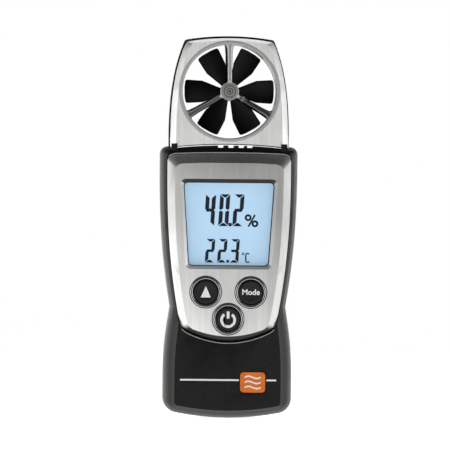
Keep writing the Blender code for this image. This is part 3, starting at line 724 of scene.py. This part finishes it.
class ANEMOMETER_OT_panel(bpy.types.Operator):
    """Make the brushed silver panel"""

    bl_idname = "anemometer.panel"
    bl_label = "Front panel"

    def execute(self, context):
        look = settings().body
        # The panel takes painted shade on its downward faces, and a painted shade that darkens it towards the
        # top of the grip.
        silver = brushed_silver("panel_silver", look.silver, 1.0, 1.02, 0.50)
        # Painted highlight: the lips' light grey stands for the bright edge line of the shell.
        seam = glossy_plastic("seam_painted_highlight", (0.30, 0.30, 0.29), 0.3)
        self.seam("lower_seam", seam, lambda point: point.z < 0.0300)
        self.seam("upper_seam", seam, lambda point: point.z > 0.0868)
        refined("front_panel", "front_panel_fine", silver, ROOT, look.edge * 0.6, 25, self.soften)
        return {"FINISHED"}

    def seam(self, name, finish, wanted):
        """The thin lip of the shell along one end of the panel, coloured light grey as a painted highlight of
        its edge.
        """
        back = max(vert.co.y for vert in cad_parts["front_panel"].data.vertices)
        power = KEY_CENTRES["power"]
        run = sorted({
            (round(vert.co.x, 6), round(vert.co.z, 6))
            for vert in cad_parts["front_panel"].data.vertices
            if abs(vert.co.y - back) < 0.00001 and wanted(vert.co)
            and Vector((vert.co.x - power.x, vert.co.z - power.z)).length > 0.0060
        })
        away = 1.0 if run[0][1] > middle("front_panel").z else -1.0
        near, far = [], []
        for place, (x, z) in enumerate(run):
            before, after = run[max(place - 1, 0)], run[min(place + 1, len(run) - 1)]
            along = Vector((after[0] - before[0], after[1] - before[1])).normalized()
            out = Vector((-along.y, along.x)) * away
            near.append((x + out.x * 0.00008, z + out.y * 0.00008))
            far.append((x + out.x * 0.00036, z + out.y * 0.00036))
        bm = bmesh.new()
        loops = []
        for (x0, z0), (x1, z1) in zip(near, far):
            loops.append([bm.verts.new((x, y, z)) for x, y, z in (
                (x0, GRIP_FACE - 0.00012, z0), (x1, GRIP_FACE - 0.00012, z1),
                (x1, GRIP_FACE + 0.0002, z1), (x0, GRIP_FACE + 0.0002, z0))])
        skin(bm, loops)
        add_piece(name, bm, finish, ROOT)

    def soften(self, bm):
        """Rounds the panel's outer crease, and leaves the window's bezel and the key holes crisp."""
        low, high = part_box("display_window")

        def outside(point):
            beside = low.x - 0.003 < point.x < high.x + 0.003
            in_window = beside and low.z - 0.0025 < point.z < high.z + 0.0025
            keys = KEY_CENTRES.values()
            near_key = any(math.hypot(point.x - key.x, point.z - key.z) < 0.0062 for key in keys)
            return not in_window and not near_key

        face = min(vert.co.y for vert in bm.verts)
        soften_rim(bm, face, face + 0.0001, 0.0012, outside)


class ANEMOMETER_OT_display(bpy.types.Operator):
    """Make the window, the lit display and its digits"""

    bl_idname = "anemometer.display"
    bl_label = "Display"

    def execute(self, context):
        look = settings().display
        reface("lcd_glass", display_glass("lit_display", look.backlight, look.glow))
        reface("display_window", clear_pane("clear_window"))
        ink = printed_ink("display_ink", look.ink, 0.5)
        self.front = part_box("lcd_glass")[0].y - PRINT_THICKNESS
        self.reading("upper_reading", look.upper, (-0.00830, 0.0642), (0.0034, 0.0107), 0.00475, 0.00132, ink)
        self.reading("lower_reading", look.lower, (-0.00790, 0.0520), (0.0030, 0.0079), 0.00412, 0.00108, ink)
        self.percent(ink)
        self.degree(ink)
        return {"FINISHED"}

    def reading(self, name, text, corner, size, pitch, stroke, finish):
        """A row of seven-segment digits, whose lower left corner stands at corner."""
        lit = {"0": "abcdef", "1": "bc", "2": "abdeg", "3": "abcdg", "4": "bcfg", "5": "acdfg",
               "6": "acdefg", "7": "abc", "8": "abcdefg", "9": "abcdfg"}
        lean = math.tan(settings().display.slant)
        bm = bmesh.new()
        left = corner[0]
        for sign in text:
            if sign == ".":
                at = left - pitch / 2 + size[0] / 2
                near, far, top = at - stroke * 0.42, at + stroke * 0.42, corner[1] + stroke * 0.84
                outline = [(near, corner[1]), (far, corner[1]), (far, top), (near, top)]
                self.flat(bm, outline)
                continue
            for segment in lit.get(sign, ""):
                outline = self.segment(segment, size, stroke)
                self.flat(bm, [(left + x + z * lean, corner[1] + z) for x, z in outline])
            left += pitch
        add_piece(name, bm, finish, ROOT)

    def flat(self, bm, outline):
        extrude_outline(bm, outline, self.front, self.front + PRINT_THICKNESS * 0.5)

    def segment(self, letter, size, stroke):
        """One segment's outline, with mitred ends and a hair's gap to its neighbours."""
        wide, tall = size
        half = tall / 2
        gap, thin = stroke * 0.06, stroke * 0.80
        spans = {
            "a": ((0, tall), (wide, tall)), "d": ((0, 0), (wide, 0)), "g": ((0, half), (wide, half)),
            "f": ((0, half), (0, tall)), "b": ((wide, half), (wide, tall)),
            "e": ((0, 0), (0, half)), "c": ((wide, 0), (wide, half)),
        }
        (x0, z0), (x1, z1) = spans[letter]
        if letter == "g":
            run = thin / 2
            tips, ends = (x0 + gap + run * 0.4, x1 - gap - run * 0.4), (x0 + run + gap, x1 - run - gap)
            return [(tips[0], z0), (ends[0], z0 + run), (ends[1], z0 + run),
                    (tips[1], z0), (ends[1], z0 - run), (ends[0], z0 - run)]
        if letter in "ad":
            inward = -thin if letter == "a" else thin
            start, end, mitre = x0 + gap * 2, x1 - gap * 2, stroke * 0.9
            return [(start, z0), (end, z0), (end - mitre, z0 + inward), (start + mitre, z0 + inward)]
        inward = stroke if letter in "fe" else -stroke
        outer_end = z1 if letter in "fb" else z0
        middle_end = z0 if letter in "fb" else z1
        step = 1 if letter in "fb" else -1
        return [
            (x0, outer_end - step * gap * 2), (x0 + inward, outer_end - step * (stroke * 0.9 + gap * 2)),
            (x0 + inward, middle_end + step * (thin / 2 + gap)), (x0 + inward * 0.4, middle_end + step * gap),
            (x0, middle_end + step * (gap + stroke * 0.3)),
        ]

    def hoop(self, bm, centre, outer, inner, sides):
        """A small flat ring."""
        back = self.front + PRINT_THICKNESS / 2
        profile = [(inner, self.front), (outer, self.front), (outer, back), (inner, back)]
        spin_profile(bm, centre, profile, sides, closed=True)

    def percent(self, finish):
        bm = bmesh.new()
        for centre in ((0.0065, 0.0671), (0.0088, 0.0651)):
            self.hoop(bm, centre, 0.00116, 0.00046, 32)
        self.flat(bm, bar((0.0066, 0.0641), (0.0088, 0.0681), 0.00058))
        add_piece("percent_sign", bm, finish, ROOT)

    def degree(self, finish):
        bm = bmesh.new()
        self.hoop(bm, (0.0049, 0.0550), 0.00045, 0.00018, 24)
        left, right, low, high, stroke = 0.0056, 0.0070, 0.0520, 0.0553, 0.00046
        start = left + stroke * 0.5
        bars = [(left, left + stroke, low + stroke, high - stroke), (start, right, low, low + stroke),
                (start, right, high - stroke, high)]
        for x0, x1, z0, z1 in bars:
            self.flat(bm, [(x0, z0), (x1, z0), (x1, z1), (x0, z1)])
        add_piece("celsius_sign", bm, finish, ROOT)


class ANEMOMETER_OT_keys(bpy.types.Operator):
    """Make the three keys, their symbols and their plated rings"""

    bl_idname = "anemometer.keys"
    bl_label = "Keys"

    def execute(self, context):
        look = settings().keys
        cap_finish = glossy_plastic("key_black", look.cap_colour, 0.3)
        white = printed_ink("symbol_white", look.symbol_colour, 0.4)
        # The rings' crowns take the caps' dark colour as a painted reflection.
        plating = plating_with_painted_reflection("ring_plating", look.cap_colour, look.ring_colour)
        for name, centre in KEY_CENTRES.items():
            self.cap(name, (centre.x, centre.z), cap_finish)
            self.ring(name, (centre.x, centre.z), plating)
        self.triangle(white)
        self.word(look.word, white)
        self.power(white)
        return {"FINISHED"}

    def cap(self, name, centre, finish):
        """A dished cap with a soft rim, and the flange that keeps it in."""
        node = f"button_{name}"
        low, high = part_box(node)
        flange = (high.x - low.x) / 2
        radius, front = flange * KEY_CAP_SHARE, low.y
        dish = [(radius * share, front + 0.00022 * (1 - (share / 0.86) ** 2))
                for share in (0.0, 0.2, 0.4, 0.6, 0.75, 0.86)]
        rim = [(radius - inset, front + depth)
               for inset, depth in ((0.00025, 0.00006), (0.00008, 0.00020), (0.0, 0.00045))]
        rear = [(radius, high.y - 0.0004), (flange, high.y - 0.0004), (flange, high.y), (0.0, high.y)]
        bm = bmesh.new()
        spin_profile(bm, centre, dish + rim + rear, 64)
        add_piece(f"{node}_fine", bm, finish, f"{name}_key", replaced=(node,))

    def ring(self, name, centre, finish):
        node = f"ring_{name}"
        low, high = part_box(node)
        outer, inner, front = (high.x - low.x) / 2, KEY_RING_INSIDE, low.y
        width = outer - inner
        turns = [math.radians(angle) for angle in range(0, 181, 15)]
        crown = [(inner + width * (0.5 - 0.5 * math.cos(turn)), front + 0.00042 * (1 - math.sin(turn)))
                 for turn in turns]
        profile = [(inner, high.y)] + crown + [(outer, high.y)]
        bm = bmesh.new()
        spin_profile(bm, centre, profile, 96, closed=True)
        add_piece(f"{node}_fine", bm, finish, ROOT, replaced=(node,), smooth=50)

    def symbol(self, name, outlines, key, finish):
        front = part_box(f"button_{key}")[0].y
        bm = bmesh.new()
        for outline in outlines:
            extrude_outline(bm, outline, front, front + 0.00026)
        add_piece(name, bm, finish, f"{key}_key")

    def triangle(self, finish):
        centre = KEY_CENTRES["up"]
        x, z = centre.x, centre.z
        outline = [(x - 0.0017, z - 0.0018), (x + 0.0017, z - 0.0018), (x, z + 0.0020)]
        self.symbol("up_symbol", [outline], "up", finish)

    def power(self, finish):
        centre = KEY_CENTRES["power"]
        spot = (centre.x, centre.z - 0.0003)
        loop = band(spot, 0.00265, 0.00175, 125, 415)
        stroke = bar((spot[0], spot[1] + 0.0005), (spot[0], spot[1] + 0.0029), 0.0009)
        self.symbol("power_symbol", [loop, stroke], "power", finish)

    def word(self, text, finish):
        """The word on the right key, drawn with a plain bold face."""
        curve = bpy.data.curves.new("mode_word", "FONT")
        curve.body = text
        curve.align_x, curve.align_y = "CENTER", "CENTER"
        curve.size = 0.00262
        curve.offset = 0.00006
        curve.extrude = 0.00008
        curve.resolution_u = 4
        centre, front = KEY_CENTRES["mode"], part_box("button_mode")[0].y
        made = bpy.data.objects.new("mode_word_outline", curve)
        bpy.context.scene.collection.objects.link(made)
        upright = Matrix.Rotation(math.pi / 2, 4, "X")
        made.matrix_world = Matrix.Translation((centre.x, front + 0.00009, centre.z)) @ upright
        bpy.context.view_layer.update()
        mesh = bpy.data.meshes.new_from_object(made.evaluated_get(bpy.context.evaluated_depsgraph_get()))
        mesh.transform(made.matrix_world)
        bm = bmesh.new()
        bm.from_mesh(mesh)
        bmesh.ops.remove_doubles(bm, verts=bm.verts, dist=0.000001)
        bpy.data.objects.remove(made, do_unlink=True)
        add_piece("mode_word", bm, finish, "mode_key")


class ANEMOMETER_OT_badge(bpy.types.Operator):
    """Make the badge with its air-flow lines, and the white line beside it"""

    bl_idname = "anemometer.badge"
    bl_label = "Badge"

    def execute(self, context):
        look = settings().body
        amber = glossy_plastic("badge_amber", look.badge_colour, 0.25)
        white = printed_ink("grip_white", settings().keys.symbol_colour)
        refined("front_badge", "front_badge_fine", amber, ROOT, 0.00012)
        low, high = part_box("front_badge")
        centre = (low + high) / 2
        bm = bmesh.new()
        for row in (-1, 0, 1):
            self.wave(bm, centre.x, centre.z + row * 0.0017, low.y)
        add_piece("badge_waves", bm, white, ROOT)
        bm = bmesh.new()
        for left, right in ((-0.0159, low.x - 0.0004), (high.x + 0.0004, 0.0163)):
            outline = bar((left, LINE_HEIGHT), (right, LINE_HEIGHT), 0.00057)
            extrude_outline(bm, outline, GRIP_FACE - PRINT_THICKNESS, GRIP_FACE + PRINT_THICKNESS)
        add_piece("grip_line", bm, white, ROOT)
        return {"FINISHED"}

    def wave(self, bm, x, z, front):
        """One air-flow line: a stroke along a sine."""
        steps, half, rise, thick = 24, 0.0027, 0.00038, 0.00026
        top, bottom = [], []
        for step in range(steps + 1):
            share = step / steps
            at = x - half + 2 * half * share
            height = z + rise * math.sin(2 * math.pi * share)
            top.append((at, height + thick))
            bottom.append((at, height - thick))
        extrude_outline(bm, top + bottom[::-1], front - PRINT_THICKNESS, front + PRINT_THICKNESS)


class ANEMOMETER_OT_head(bpy.types.Operator):
    """Make the silver head cover"""

    bl_idname = "anemometer.head"
    bl_label = "Head cover"

    def execute(self, context):
        look = settings().body
        silver = brushed_silver("head_silver", look.silver)
        edge = look.edge * 0.3
        refined("head_front_cover", "head_front_cover_fine", silver, ROOT, edge, 22, self.soften)
        return {"FINISHED"}

    def soften(self, bm):
        """Rounds the creases of the two sides, and draws the edge in to bare the black rim behind."""
        for vert in bm.verts:
            away = vert.co - WHEEL_CENTRE
            if Vector((away.x, away.z)).length > 0.0172 and vert.co.z > 0.0960:
                vert.co.x *= 0.993
                vert.co.z -= 0.0003 if vert.co.z > 0.1240 else 0.0
        face = min(vert.co.y for vert in bm.verts)
        soften_rim(bm, face, face + 0.0002, 0.0004, lambda point: abs(point.x) > 0.0118 and point.z > 0.092)


class ANEMOMETER_OT_gaskets(bpy.types.Operator):
    """Make the dark gaskets that close the joints of the grip and of the head"""

    bl_idname = "anemometer.gaskets"
    bl_label = "Gaskets"

    def execute(self, context):
        rubber = soft_rubber("gasket_rubber", (0.010, 0.010, 0.010))
        self.gasket("grip_gasket", "front_shell", rubber)
        self.gasket("head_gasket", "head_front_cover", rubber)
        return {"FINISHED"}

    def gasket(self, name, front, finish):
        """A flat band in the joint behind a front half, a little inside its outline."""
        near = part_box(front)[1].y
        outer, inner = (self.drawn_in(self.rim(front, near), depth) for depth in (0.0005, 0.0011))
        start, end = near + JOINT_GAP * 0.06, near + JOINT_GAP * 0.94
        bm = bmesh.new()
        rings = [
            [bm.verts.new((x, y, z)) for x, z in edge]
            for edge, y in ((outer, start), (outer, end), (inner, end), (inner, start))
        ]
        for first, second in zip(rings, rings[1:] + rings[:1]):
            for corner in range(len(outer)):
                after = (corner + 1) % len(outer)
                bm.faces.new((first[corner], first[after], second[after], second[corner]))
        add_piece(name, bm, finish, ROOT)

    def rim(self, node, depth):
        """The outer outline of a node's flat end, as a closed row of (x, z) points."""
        bm = bmesh.new()
        bm.from_mesh(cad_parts[node].data)
        bmesh.ops.remove_doubles(bm, verts=bm.verts, dist=0.000002)
        flat = {face for face in bm.faces if all(abs(vert.co.y - depth) < 0.00001 for vert in face.verts)}
        beside = {}
        for edge in bm.edges:
            if sum(link in flat for link in edge.link_faces) == 1:
                for vert in edge.verts:
                    beside.setdefault(vert, []).append(edge.other_vert(vert))
        row = [max(beside, key=lambda vert: vert.co.x)]
        while row[-1] in beside:
            ahead = [vert for vert in beside.pop(row[-1]) if vert in beside]
            row += ahead[:1]
        points = [(vert.co.x, vert.co.z) for vert in row]
        bm.free()
        return points

    def drawn_in(self, points, depth):
        area = sum(x0 * z1 - x1 * z0 for (x0, z0), (x1, z1) in zip(points, points[1:] + points[:1]))
        turn = 1.0 if area > 0 else -1.0
        moved = []
        for place, (x, z) in enumerate(points):
            before, after = points[place - 1], points[(place + 1) % len(points)]
            along = Vector((after[0] - before[0], after[1] - before[1])).normalized()
            moved.append((x - along.y * depth * turn, z + along.x * depth * turn))
        return moved


class ANEMOMETER_OT_guards(bpy.types.Operator):
    """Make the front guard with its struts, lead and stepped hub, and finish the rear guard"""

    bl_idname = "anemometer.guards"
    bl_label = "Guards"

    def execute(self, context):
        look = settings()
        # Painted light and shade: one silver in three tones, light for the upper strut, mid grey for the
        # ring, and a dark steel for the lower struts and the clip as a painted reflection.
        silver = brushed_silver("guard_silver", look.wheel.guard_colour)
        ring = brushed_silver("ring_silver", look.wheel.ring_colour)
        dark = brushed_steel("strut_painted_reflection_steel", look.wheel.strut_painted_reflection_colour, 0.3)
        charcoal = moulded_plastic("guard_plastic", look.body.shell_colour)
        rubber = soft_rubber("lead_rubber", (0.012, 0.012, 0.012))
        refined("rear_guard", "rear_guard_fine", charcoal, ROOT, 0.00008)
        low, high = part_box("front_guard")
        self.centre = (WHEEL_CENTRE.x, WHEEL_CENTRE.z)
        self.front, self.back, self.outer = low.y, high.y, (high.x - low.x) / 2
        self.inner = self.outer - 0.0010
        self.ring(ring)
        self.strut("top_strut", 90, 1.0, silver)
        self.strut("left_strut", 210, 0.92, dark)
        self.strut("right_strut", 330, 0.92, dark)
        self.lead(rubber, dark)
        turned = turned_steel("hub_steel", look.wheel.hub_colour)
        self.hub(turned)
        self.hub_cap(turned)
        return {"FINISHED"}

    def ring(self, finish):
        """The ring that lines the opening, with a rolled inner edge and a rim over the head's joint."""
        rim, roll, front = self.outer + 0.00028, 0.0003, self.front
        turns = [math.radians(angle) for angle in range(90, -1, -15)]
        rolled = [(self.inner + roll * (1 - math.sin(turn)), front + roll * (1 - math.cos(turn)))
                  for turn in turns]
        lip = [(rim - 0.00025, front), (rim, front + 0.00003), (self.outer, front + 0.0002)]
        profile = [(self.inner, self.back)] + rolled + lip + [(self.outer, self.back)]
        bm = bmesh.new()
        spin_profile(bm, self.centre, profile, 144, closed=True)
        add_piece("front_guard_fine", bm, finish, ROOT, replaced=("front_guard",), smooth=50)

    def strut(self, name, angle, share, finish):
        """A strut with a groove down its middle, flared where it meets the ring."""
        turn = math.radians(angle)
        along = Vector((math.cos(turn), 0.0, math.sin(turn)))
        side = Vector((-math.sin(turn), 0.0, math.cos(turn)))
        bead = [(0.10, 0.00060), (0.22, 0.00022), (0.38, 0.00005), (0.55, 0.0), (0.72, 0.00005),
                (0.88, 0.00022), (1.0, 0.0006), (1.0, 0.0016)]
        section = [(-across, depth) for across, depth in reversed(bead)] + bead
        reach, front = self.inner + 0.0003, self.front + 0.0006
        stations = [(0.0026, 0.00074), (0.0060, 0.00080), (0.0110, 0.00086), (reach - 0.0021, 0.00098),
                    (reach - 0.0013, 0.00118), (reach - 0.0007, 0.00155), (reach, 0.0022)]
        hub = Vector((self.centre[0], front, self.centre[1]))
        bm = bmesh.new()
        loops = []
        for distance, half in stations:
            middle_line = hub + along * distance
            loops.append([
                bm.verts.new(middle_line + side * half * across * share + Vector((0.0, depth, 0.0)))
                for across, depth in section
            ])
        skin(bm, loops)
        add_piece(name, bm, finish, ROOT, smooth=50)

    def lead(self, rubber, clip_finish):
        """The ribbed sleeve of the sensor's lead, laid along the right strut, and its clip."""
        turn = math.radians(330)
        along = Vector((math.cos(turn), 0.0, math.sin(turn)))
        side = Vector((-math.sin(turn), 0.0, math.cos(turn)))
        start = Vector((self.centre[0], self.front + 0.00065, self.centre[1]))
        first, last, rib = 0.0062, self.inner - 0.0002, 0.0002
        bm = bmesh.new()
        loops = []
        for step in range(int((last - first) / rib) + 1):
            radius = 0.00056 if step % 4 < 2 else 0.00040
            point = start + along * (first + step * rib)
            turns = [math.tau * corner / 12 for corner in range(12)]
            spokes = [side * math.cos(turn) + Vector((0.0, math.sin(turn), 0.0)) for turn in turns]
            loops.append([bm.verts.new(point + spoke * radius) for spoke in spokes])
        skin(bm, loops)
        add_piece("lead_sleeve", bm, rubber, ROOT)
        bm = bmesh.new()
        loops = []
        clip = ((0.0046, 0.0005, 0.0001), (0.0048, 0.0009, -0.0001),
                (0.0054, 0.0009, -0.0001), (0.0056, 0.0005, 0.0001))
        for distance, half, crest in clip:
            point = start + along * distance
            loops.append([
                bm.verts.new(point + side * across * half + Vector((0.0, depth, 0.0)))
                for across, depth in ((-1, 0.0006), (-1, crest), (1, crest), (1, 0.0006))
            ])
        skin(bm, loops)
        add_piece("lead_clip", bm, clip_finish, ROOT)

    def hub(self, finish):
        """Stepped hub: an outer land whose rim carries a painted highlight, a raised ring and a recess, and
        three small tabs.
        """
        radius, front = 0.0031, self.front + 0.0003
        steps = [
            (0.0, 0.0012), (0.0012, 0.0012), (0.0013, 0.0003), (0.0020, 0.0003), (0.0021, 0.0), (0.0025, 0.0),
            (0.0026, 0.0002), (radius - 0.0002, 0.0002), (radius, 0.0004), (radius, 0.0032), (0.0013, 0.0032),
            (0.0013, 0.0014), (0.0, 0.0014),
        ]
        profile = [(at, front + depth) for at, depth in steps]
        bm = bmesh.new()
        spin_profile(bm, self.centre, profile, 72)
        for angle in (90, 210, 330):
            turn = math.radians(angle)
            outline = [(radius - 0.0003, -0.0009), (radius + 0.0009, 0.0), (radius - 0.0003, 0.0009)]
            placed = [(self.centre[0] + x * math.cos(turn) - z * math.sin(turn),
                       self.centre[1] + x * math.sin(turn) + z * math.cos(turn)) for x, z in outline]
            extrude_outline(bm, placed, front + 0.0001, front + 0.0008)
        add_piece("hub_body", bm, finish, ROOT, smooth=25)

    def hub_cap(self, finish):
        low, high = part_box("front_hub_cap")
        front, radius = low.y, (high.x - low.x) / 2
        steps = [
            (0.0, 0.00005), (0.0003, 0.0001), (0.0005, 0.0004), (0.0010, 0.0004), (0.0011, 0.0001),
            (0.0015, 0.0001), (0.0016, 0.0004), (0.0020, 0.0004), (0.0021, 0.0002),
            (radius - 0.0001, 0.0002), (radius, 0.0003),
        ]
        profile = [(at, front + depth) for at, depth in steps] + [(radius, high.y), (0.0, high.y)]
        bm = bmesh.new()
        spin_profile(bm, self.centre, profile, 64)
        add_piece("front_hub_cap_fine", bm, finish, ROOT, replaced=("front_hub_cap",), smooth=25)


class ANEMOMETER_OT_wheel(bpy.types.Operator):
    """Make the six-blade wind wheel and its shaft"""

    bl_idname = "anemometer.wheel"
    bl_label = "Wind wheel"

    def execute(self, context):
        look = settings().wheel
        black = glossy_plastic("wheel_black", look.blade_colour, 0.30)
        refined("impeller", "impeller_fine", black, "wheel", 0.00012, angle=40)
        steel = brushed_steel("shaft_steel", (0.55, 0.55, 0.56), 0.2)
        reface("impeller_shaft", steel)
        reface("impeller_magnet", steel)
        return {"FINISHED"}


class ANEMOMETER_OT_inside(bpy.types.Operator):
    """Finish the pieces inside the instrument"""

    bl_idname = "anemometer.inside"
    bl_label = "Inner pieces"

    def execute(self, context):
        white = moulded_plastic("inner_white", (0.78, 0.78, 0.76), 0.45)
        green = circuit_board("board_green", (0.02, 0.13, 0.05))
        black = moulded_plastic("chip_black", (0.015, 0.015, 0.016), 0.5)
        rubber = soft_rubber("keypad_rubber", (0.04, 0.04, 0.04))
        steel = brushed_steel("can_steel", (0.6, 0.6, 0.6))
        nickel = polished_metal("contact_nickel", (0.68, 0.63, 0.52), 0.2)
        jacket = cell_jacket("cell_print", (0.03, 0.06, 0.12), (0.55, 0.56, 0.58))
        finishes = {
            white: ("lcd_frame", "lcd_backlight", "humidity_sensor"),
            green: ("main_board", "sensor_board"),
            black: ("processor_chip", "temperature_sensor", "speed_sensor"),
            rubber: ("keypad_mat", "contact_strip", "head_lead"),
            steel: ("crystal_can", "switch_up", "switch_mode", "switch_power"),
            nickel: ("bridge_contact", "plate_contact", "spring_contact", "front_bearing", "rear_bearing"),
            jacket: ("battery_left", "battery_right"),
        }
        for finish, nodes in finishes.items():
            for node in nodes:
                reface(node, finish)
        return {"FINISHED"}


class ANEMOMETER_OT_stage(bpy.types.Operator):
    """Make the floor, the lights and the camera"""

    bl_idname = "anemometer.stage"
    bl_label = "Stage"

    def execute(self, context):
        look = settings().stage
        self.floor(look.floor_colour)
        self.world()
        self.lamp("left_softbox", (-0.85, -0.32, 0.12), (0.40, 0.9), look.side_power)
        self.lamp("right_softbox", (0.85, -0.32, 0.12), (0.40, 0.9), look.side_power * 1.3)
        self.lamp("floor_light", (0.0, 0.9, 1.0), (2.6, 1.6), look.floor_power, (0.0, 0.7, 0.0))
        self.camera(look)
        context.scene.view_settings.view_transform = "Standard"
        return {"FINISHED"}

    def floor(self, colour):
        bm = bmesh.new()
        bmesh.ops.create_circle(bm, cap_ends=True, segments=96, radius=1.5)
        mesh = bpy.data.meshes.new("floor")
        bm.to_mesh(mesh)
        bm.free()
        mesh.transform(Matrix.Translation((0.0, 0.40, 0.0)))
        made = bpy.data.objects.new("floor", mesh)
        mesh.materials.append(pale_floor("studio_paper", colour))
        bpy.context.scene.collection.objects.link(made)

    def world(self):
        """White paper behind the part, which reflects a bright room that is darker overhead."""
        paint = Paint("studio", bpy.data.worlds)
        toward = paint.node("ShaderNodeTexCoord")
        depth, rise = paint.axis(toward, 1), paint.axis(toward, 2)
        aside = ROOM_FRONT + (ROOM_SIDE - ROOM_FRONT) * depth.limited(-0.85, -0.4)
        level = aside + (ROOM_BACK - ROOM_SIDE) * depth.limited(0.1, 0.5)
        level = level * (1.0 - 0.90 * rise.limited(0.10, 0.5))
        room = paint.node("ShaderNodeBackground", None, {"Color": (1.0, 1.0, 1.0, 1.0), "Strength": level})
        paper = paint.node("ShaderNodeBackground", None, {"Color": (1.0, 1.0, 1.0, 1.0), "Strength": 1.0})
        seen = paint.node("ShaderNodeLightPath")
        chosen = paint.node("ShaderNodeMixShader", None, {0: seen, 1: room, 2: paper})
        paint.put(paint.tree.nodes["World Output"], {"Surface": chosen})
        bpy.context.scene.world = paint.made

    def lamp(self, name, spot, size, power, target=(0.0, 0.0, 0.065)):
        data = bpy.data.lights.new(name, "AREA")
        data.shape = "RECTANGLE"
        data.size, data.size_y = size
        data.energy = power
        made = bpy.data.objects.new(name, data)
        made.location = spot
        toward = Vector(target) - Vector(spot)
        made.rotation_mode = "QUATERNION"
        made.rotation_quaternion = toward.to_track_quat("-Z", "Y")
        bpy.context.scene.collection.objects.link(made)

    def camera(self, look):
        data = bpy.data.cameras.new("camera")
        data.sensor_width = 36.0
        data.lens = data.sensor_width * look.distance / look.field
        data.clip_start, data.clip_end = 0.05, 20.0
        made = bpy.data.objects.new("camera", data)
        target = Vector((-0.0010, 0.0, 0.0646))
        back = Vector((math.sin(look.azimuth), -math.cos(look.azimuth), 0.0))
        made.location = target + back * look.distance
        made.rotation_mode = "QUATERNION"
        facing = (-back).to_track_quat("-Z", "Y").to_matrix() @ Matrix.Rotation(look.roll, 3, "Z")
        made.rotation_quaternion = facing.to_quaternion()
        bpy.context.scene.collection.objects.link(made)
        bpy.context.scene.camera = made


OPERATORS = (
    ANEMOMETER_OT_stage, ANEMOMETER_OT_shells, ANEMOMETER_OT_battery_cover, ANEMOMETER_OT_panel,
    ANEMOMETER_OT_display, ANEMOMETER_OT_keys, ANEMOMETER_OT_badge, ANEMOMETER_OT_head,
    ANEMOMETER_OT_gaskets, ANEMOMETER_OT_guards, ANEMOMETER_OT_wheel, ANEMOMETER_OT_inside,
)


class ANEMOMETER_PT_maker(bpy.types.Panel):
    """Lists the maker's settings and steps"""

    bl_idname = "ANEMOMETER_PT_maker"
    bl_label = "Anemometer"
    bl_space_type = "VIEW_3D"
    bl_region_type = "UI"
    bl_category = "Anemometer"

    def draw(self, context):
        for group in ("body", "display", "keys", "wheel", "stage"):
            box = self.layout.box()
            look = getattr(context.scene.anemometer, group)
            for name in look.__annotations__:
                box.prop(look, name)
        for operator in OPERATORS:
            self.layout.operator(operator.bl_idname)


CLASSES = (BodySettings, DisplaySettings, KeySettings, WheelSettings, StageSettings, MakerSettings,
           *OPERATORS, ANEMOMETER_PT_maker)


def register():
    for each in CLASSES:
        bpy.utils.register_class(each)
    bpy.types.Scene.anemometer = PointerProperty(type=MakerSettings)


def unregister():
    del bpy.types.Scene.anemometer
    for each in reversed(CLASSES):
        bpy.utils.unregister_class(each)


def main():
    register()
    for operator in OPERATORS:
        group, name = operator.bl_idname.split(".")
        getattr(getattr(bpy.ops, group), name)()


if __name__ == "__main__":
    main()
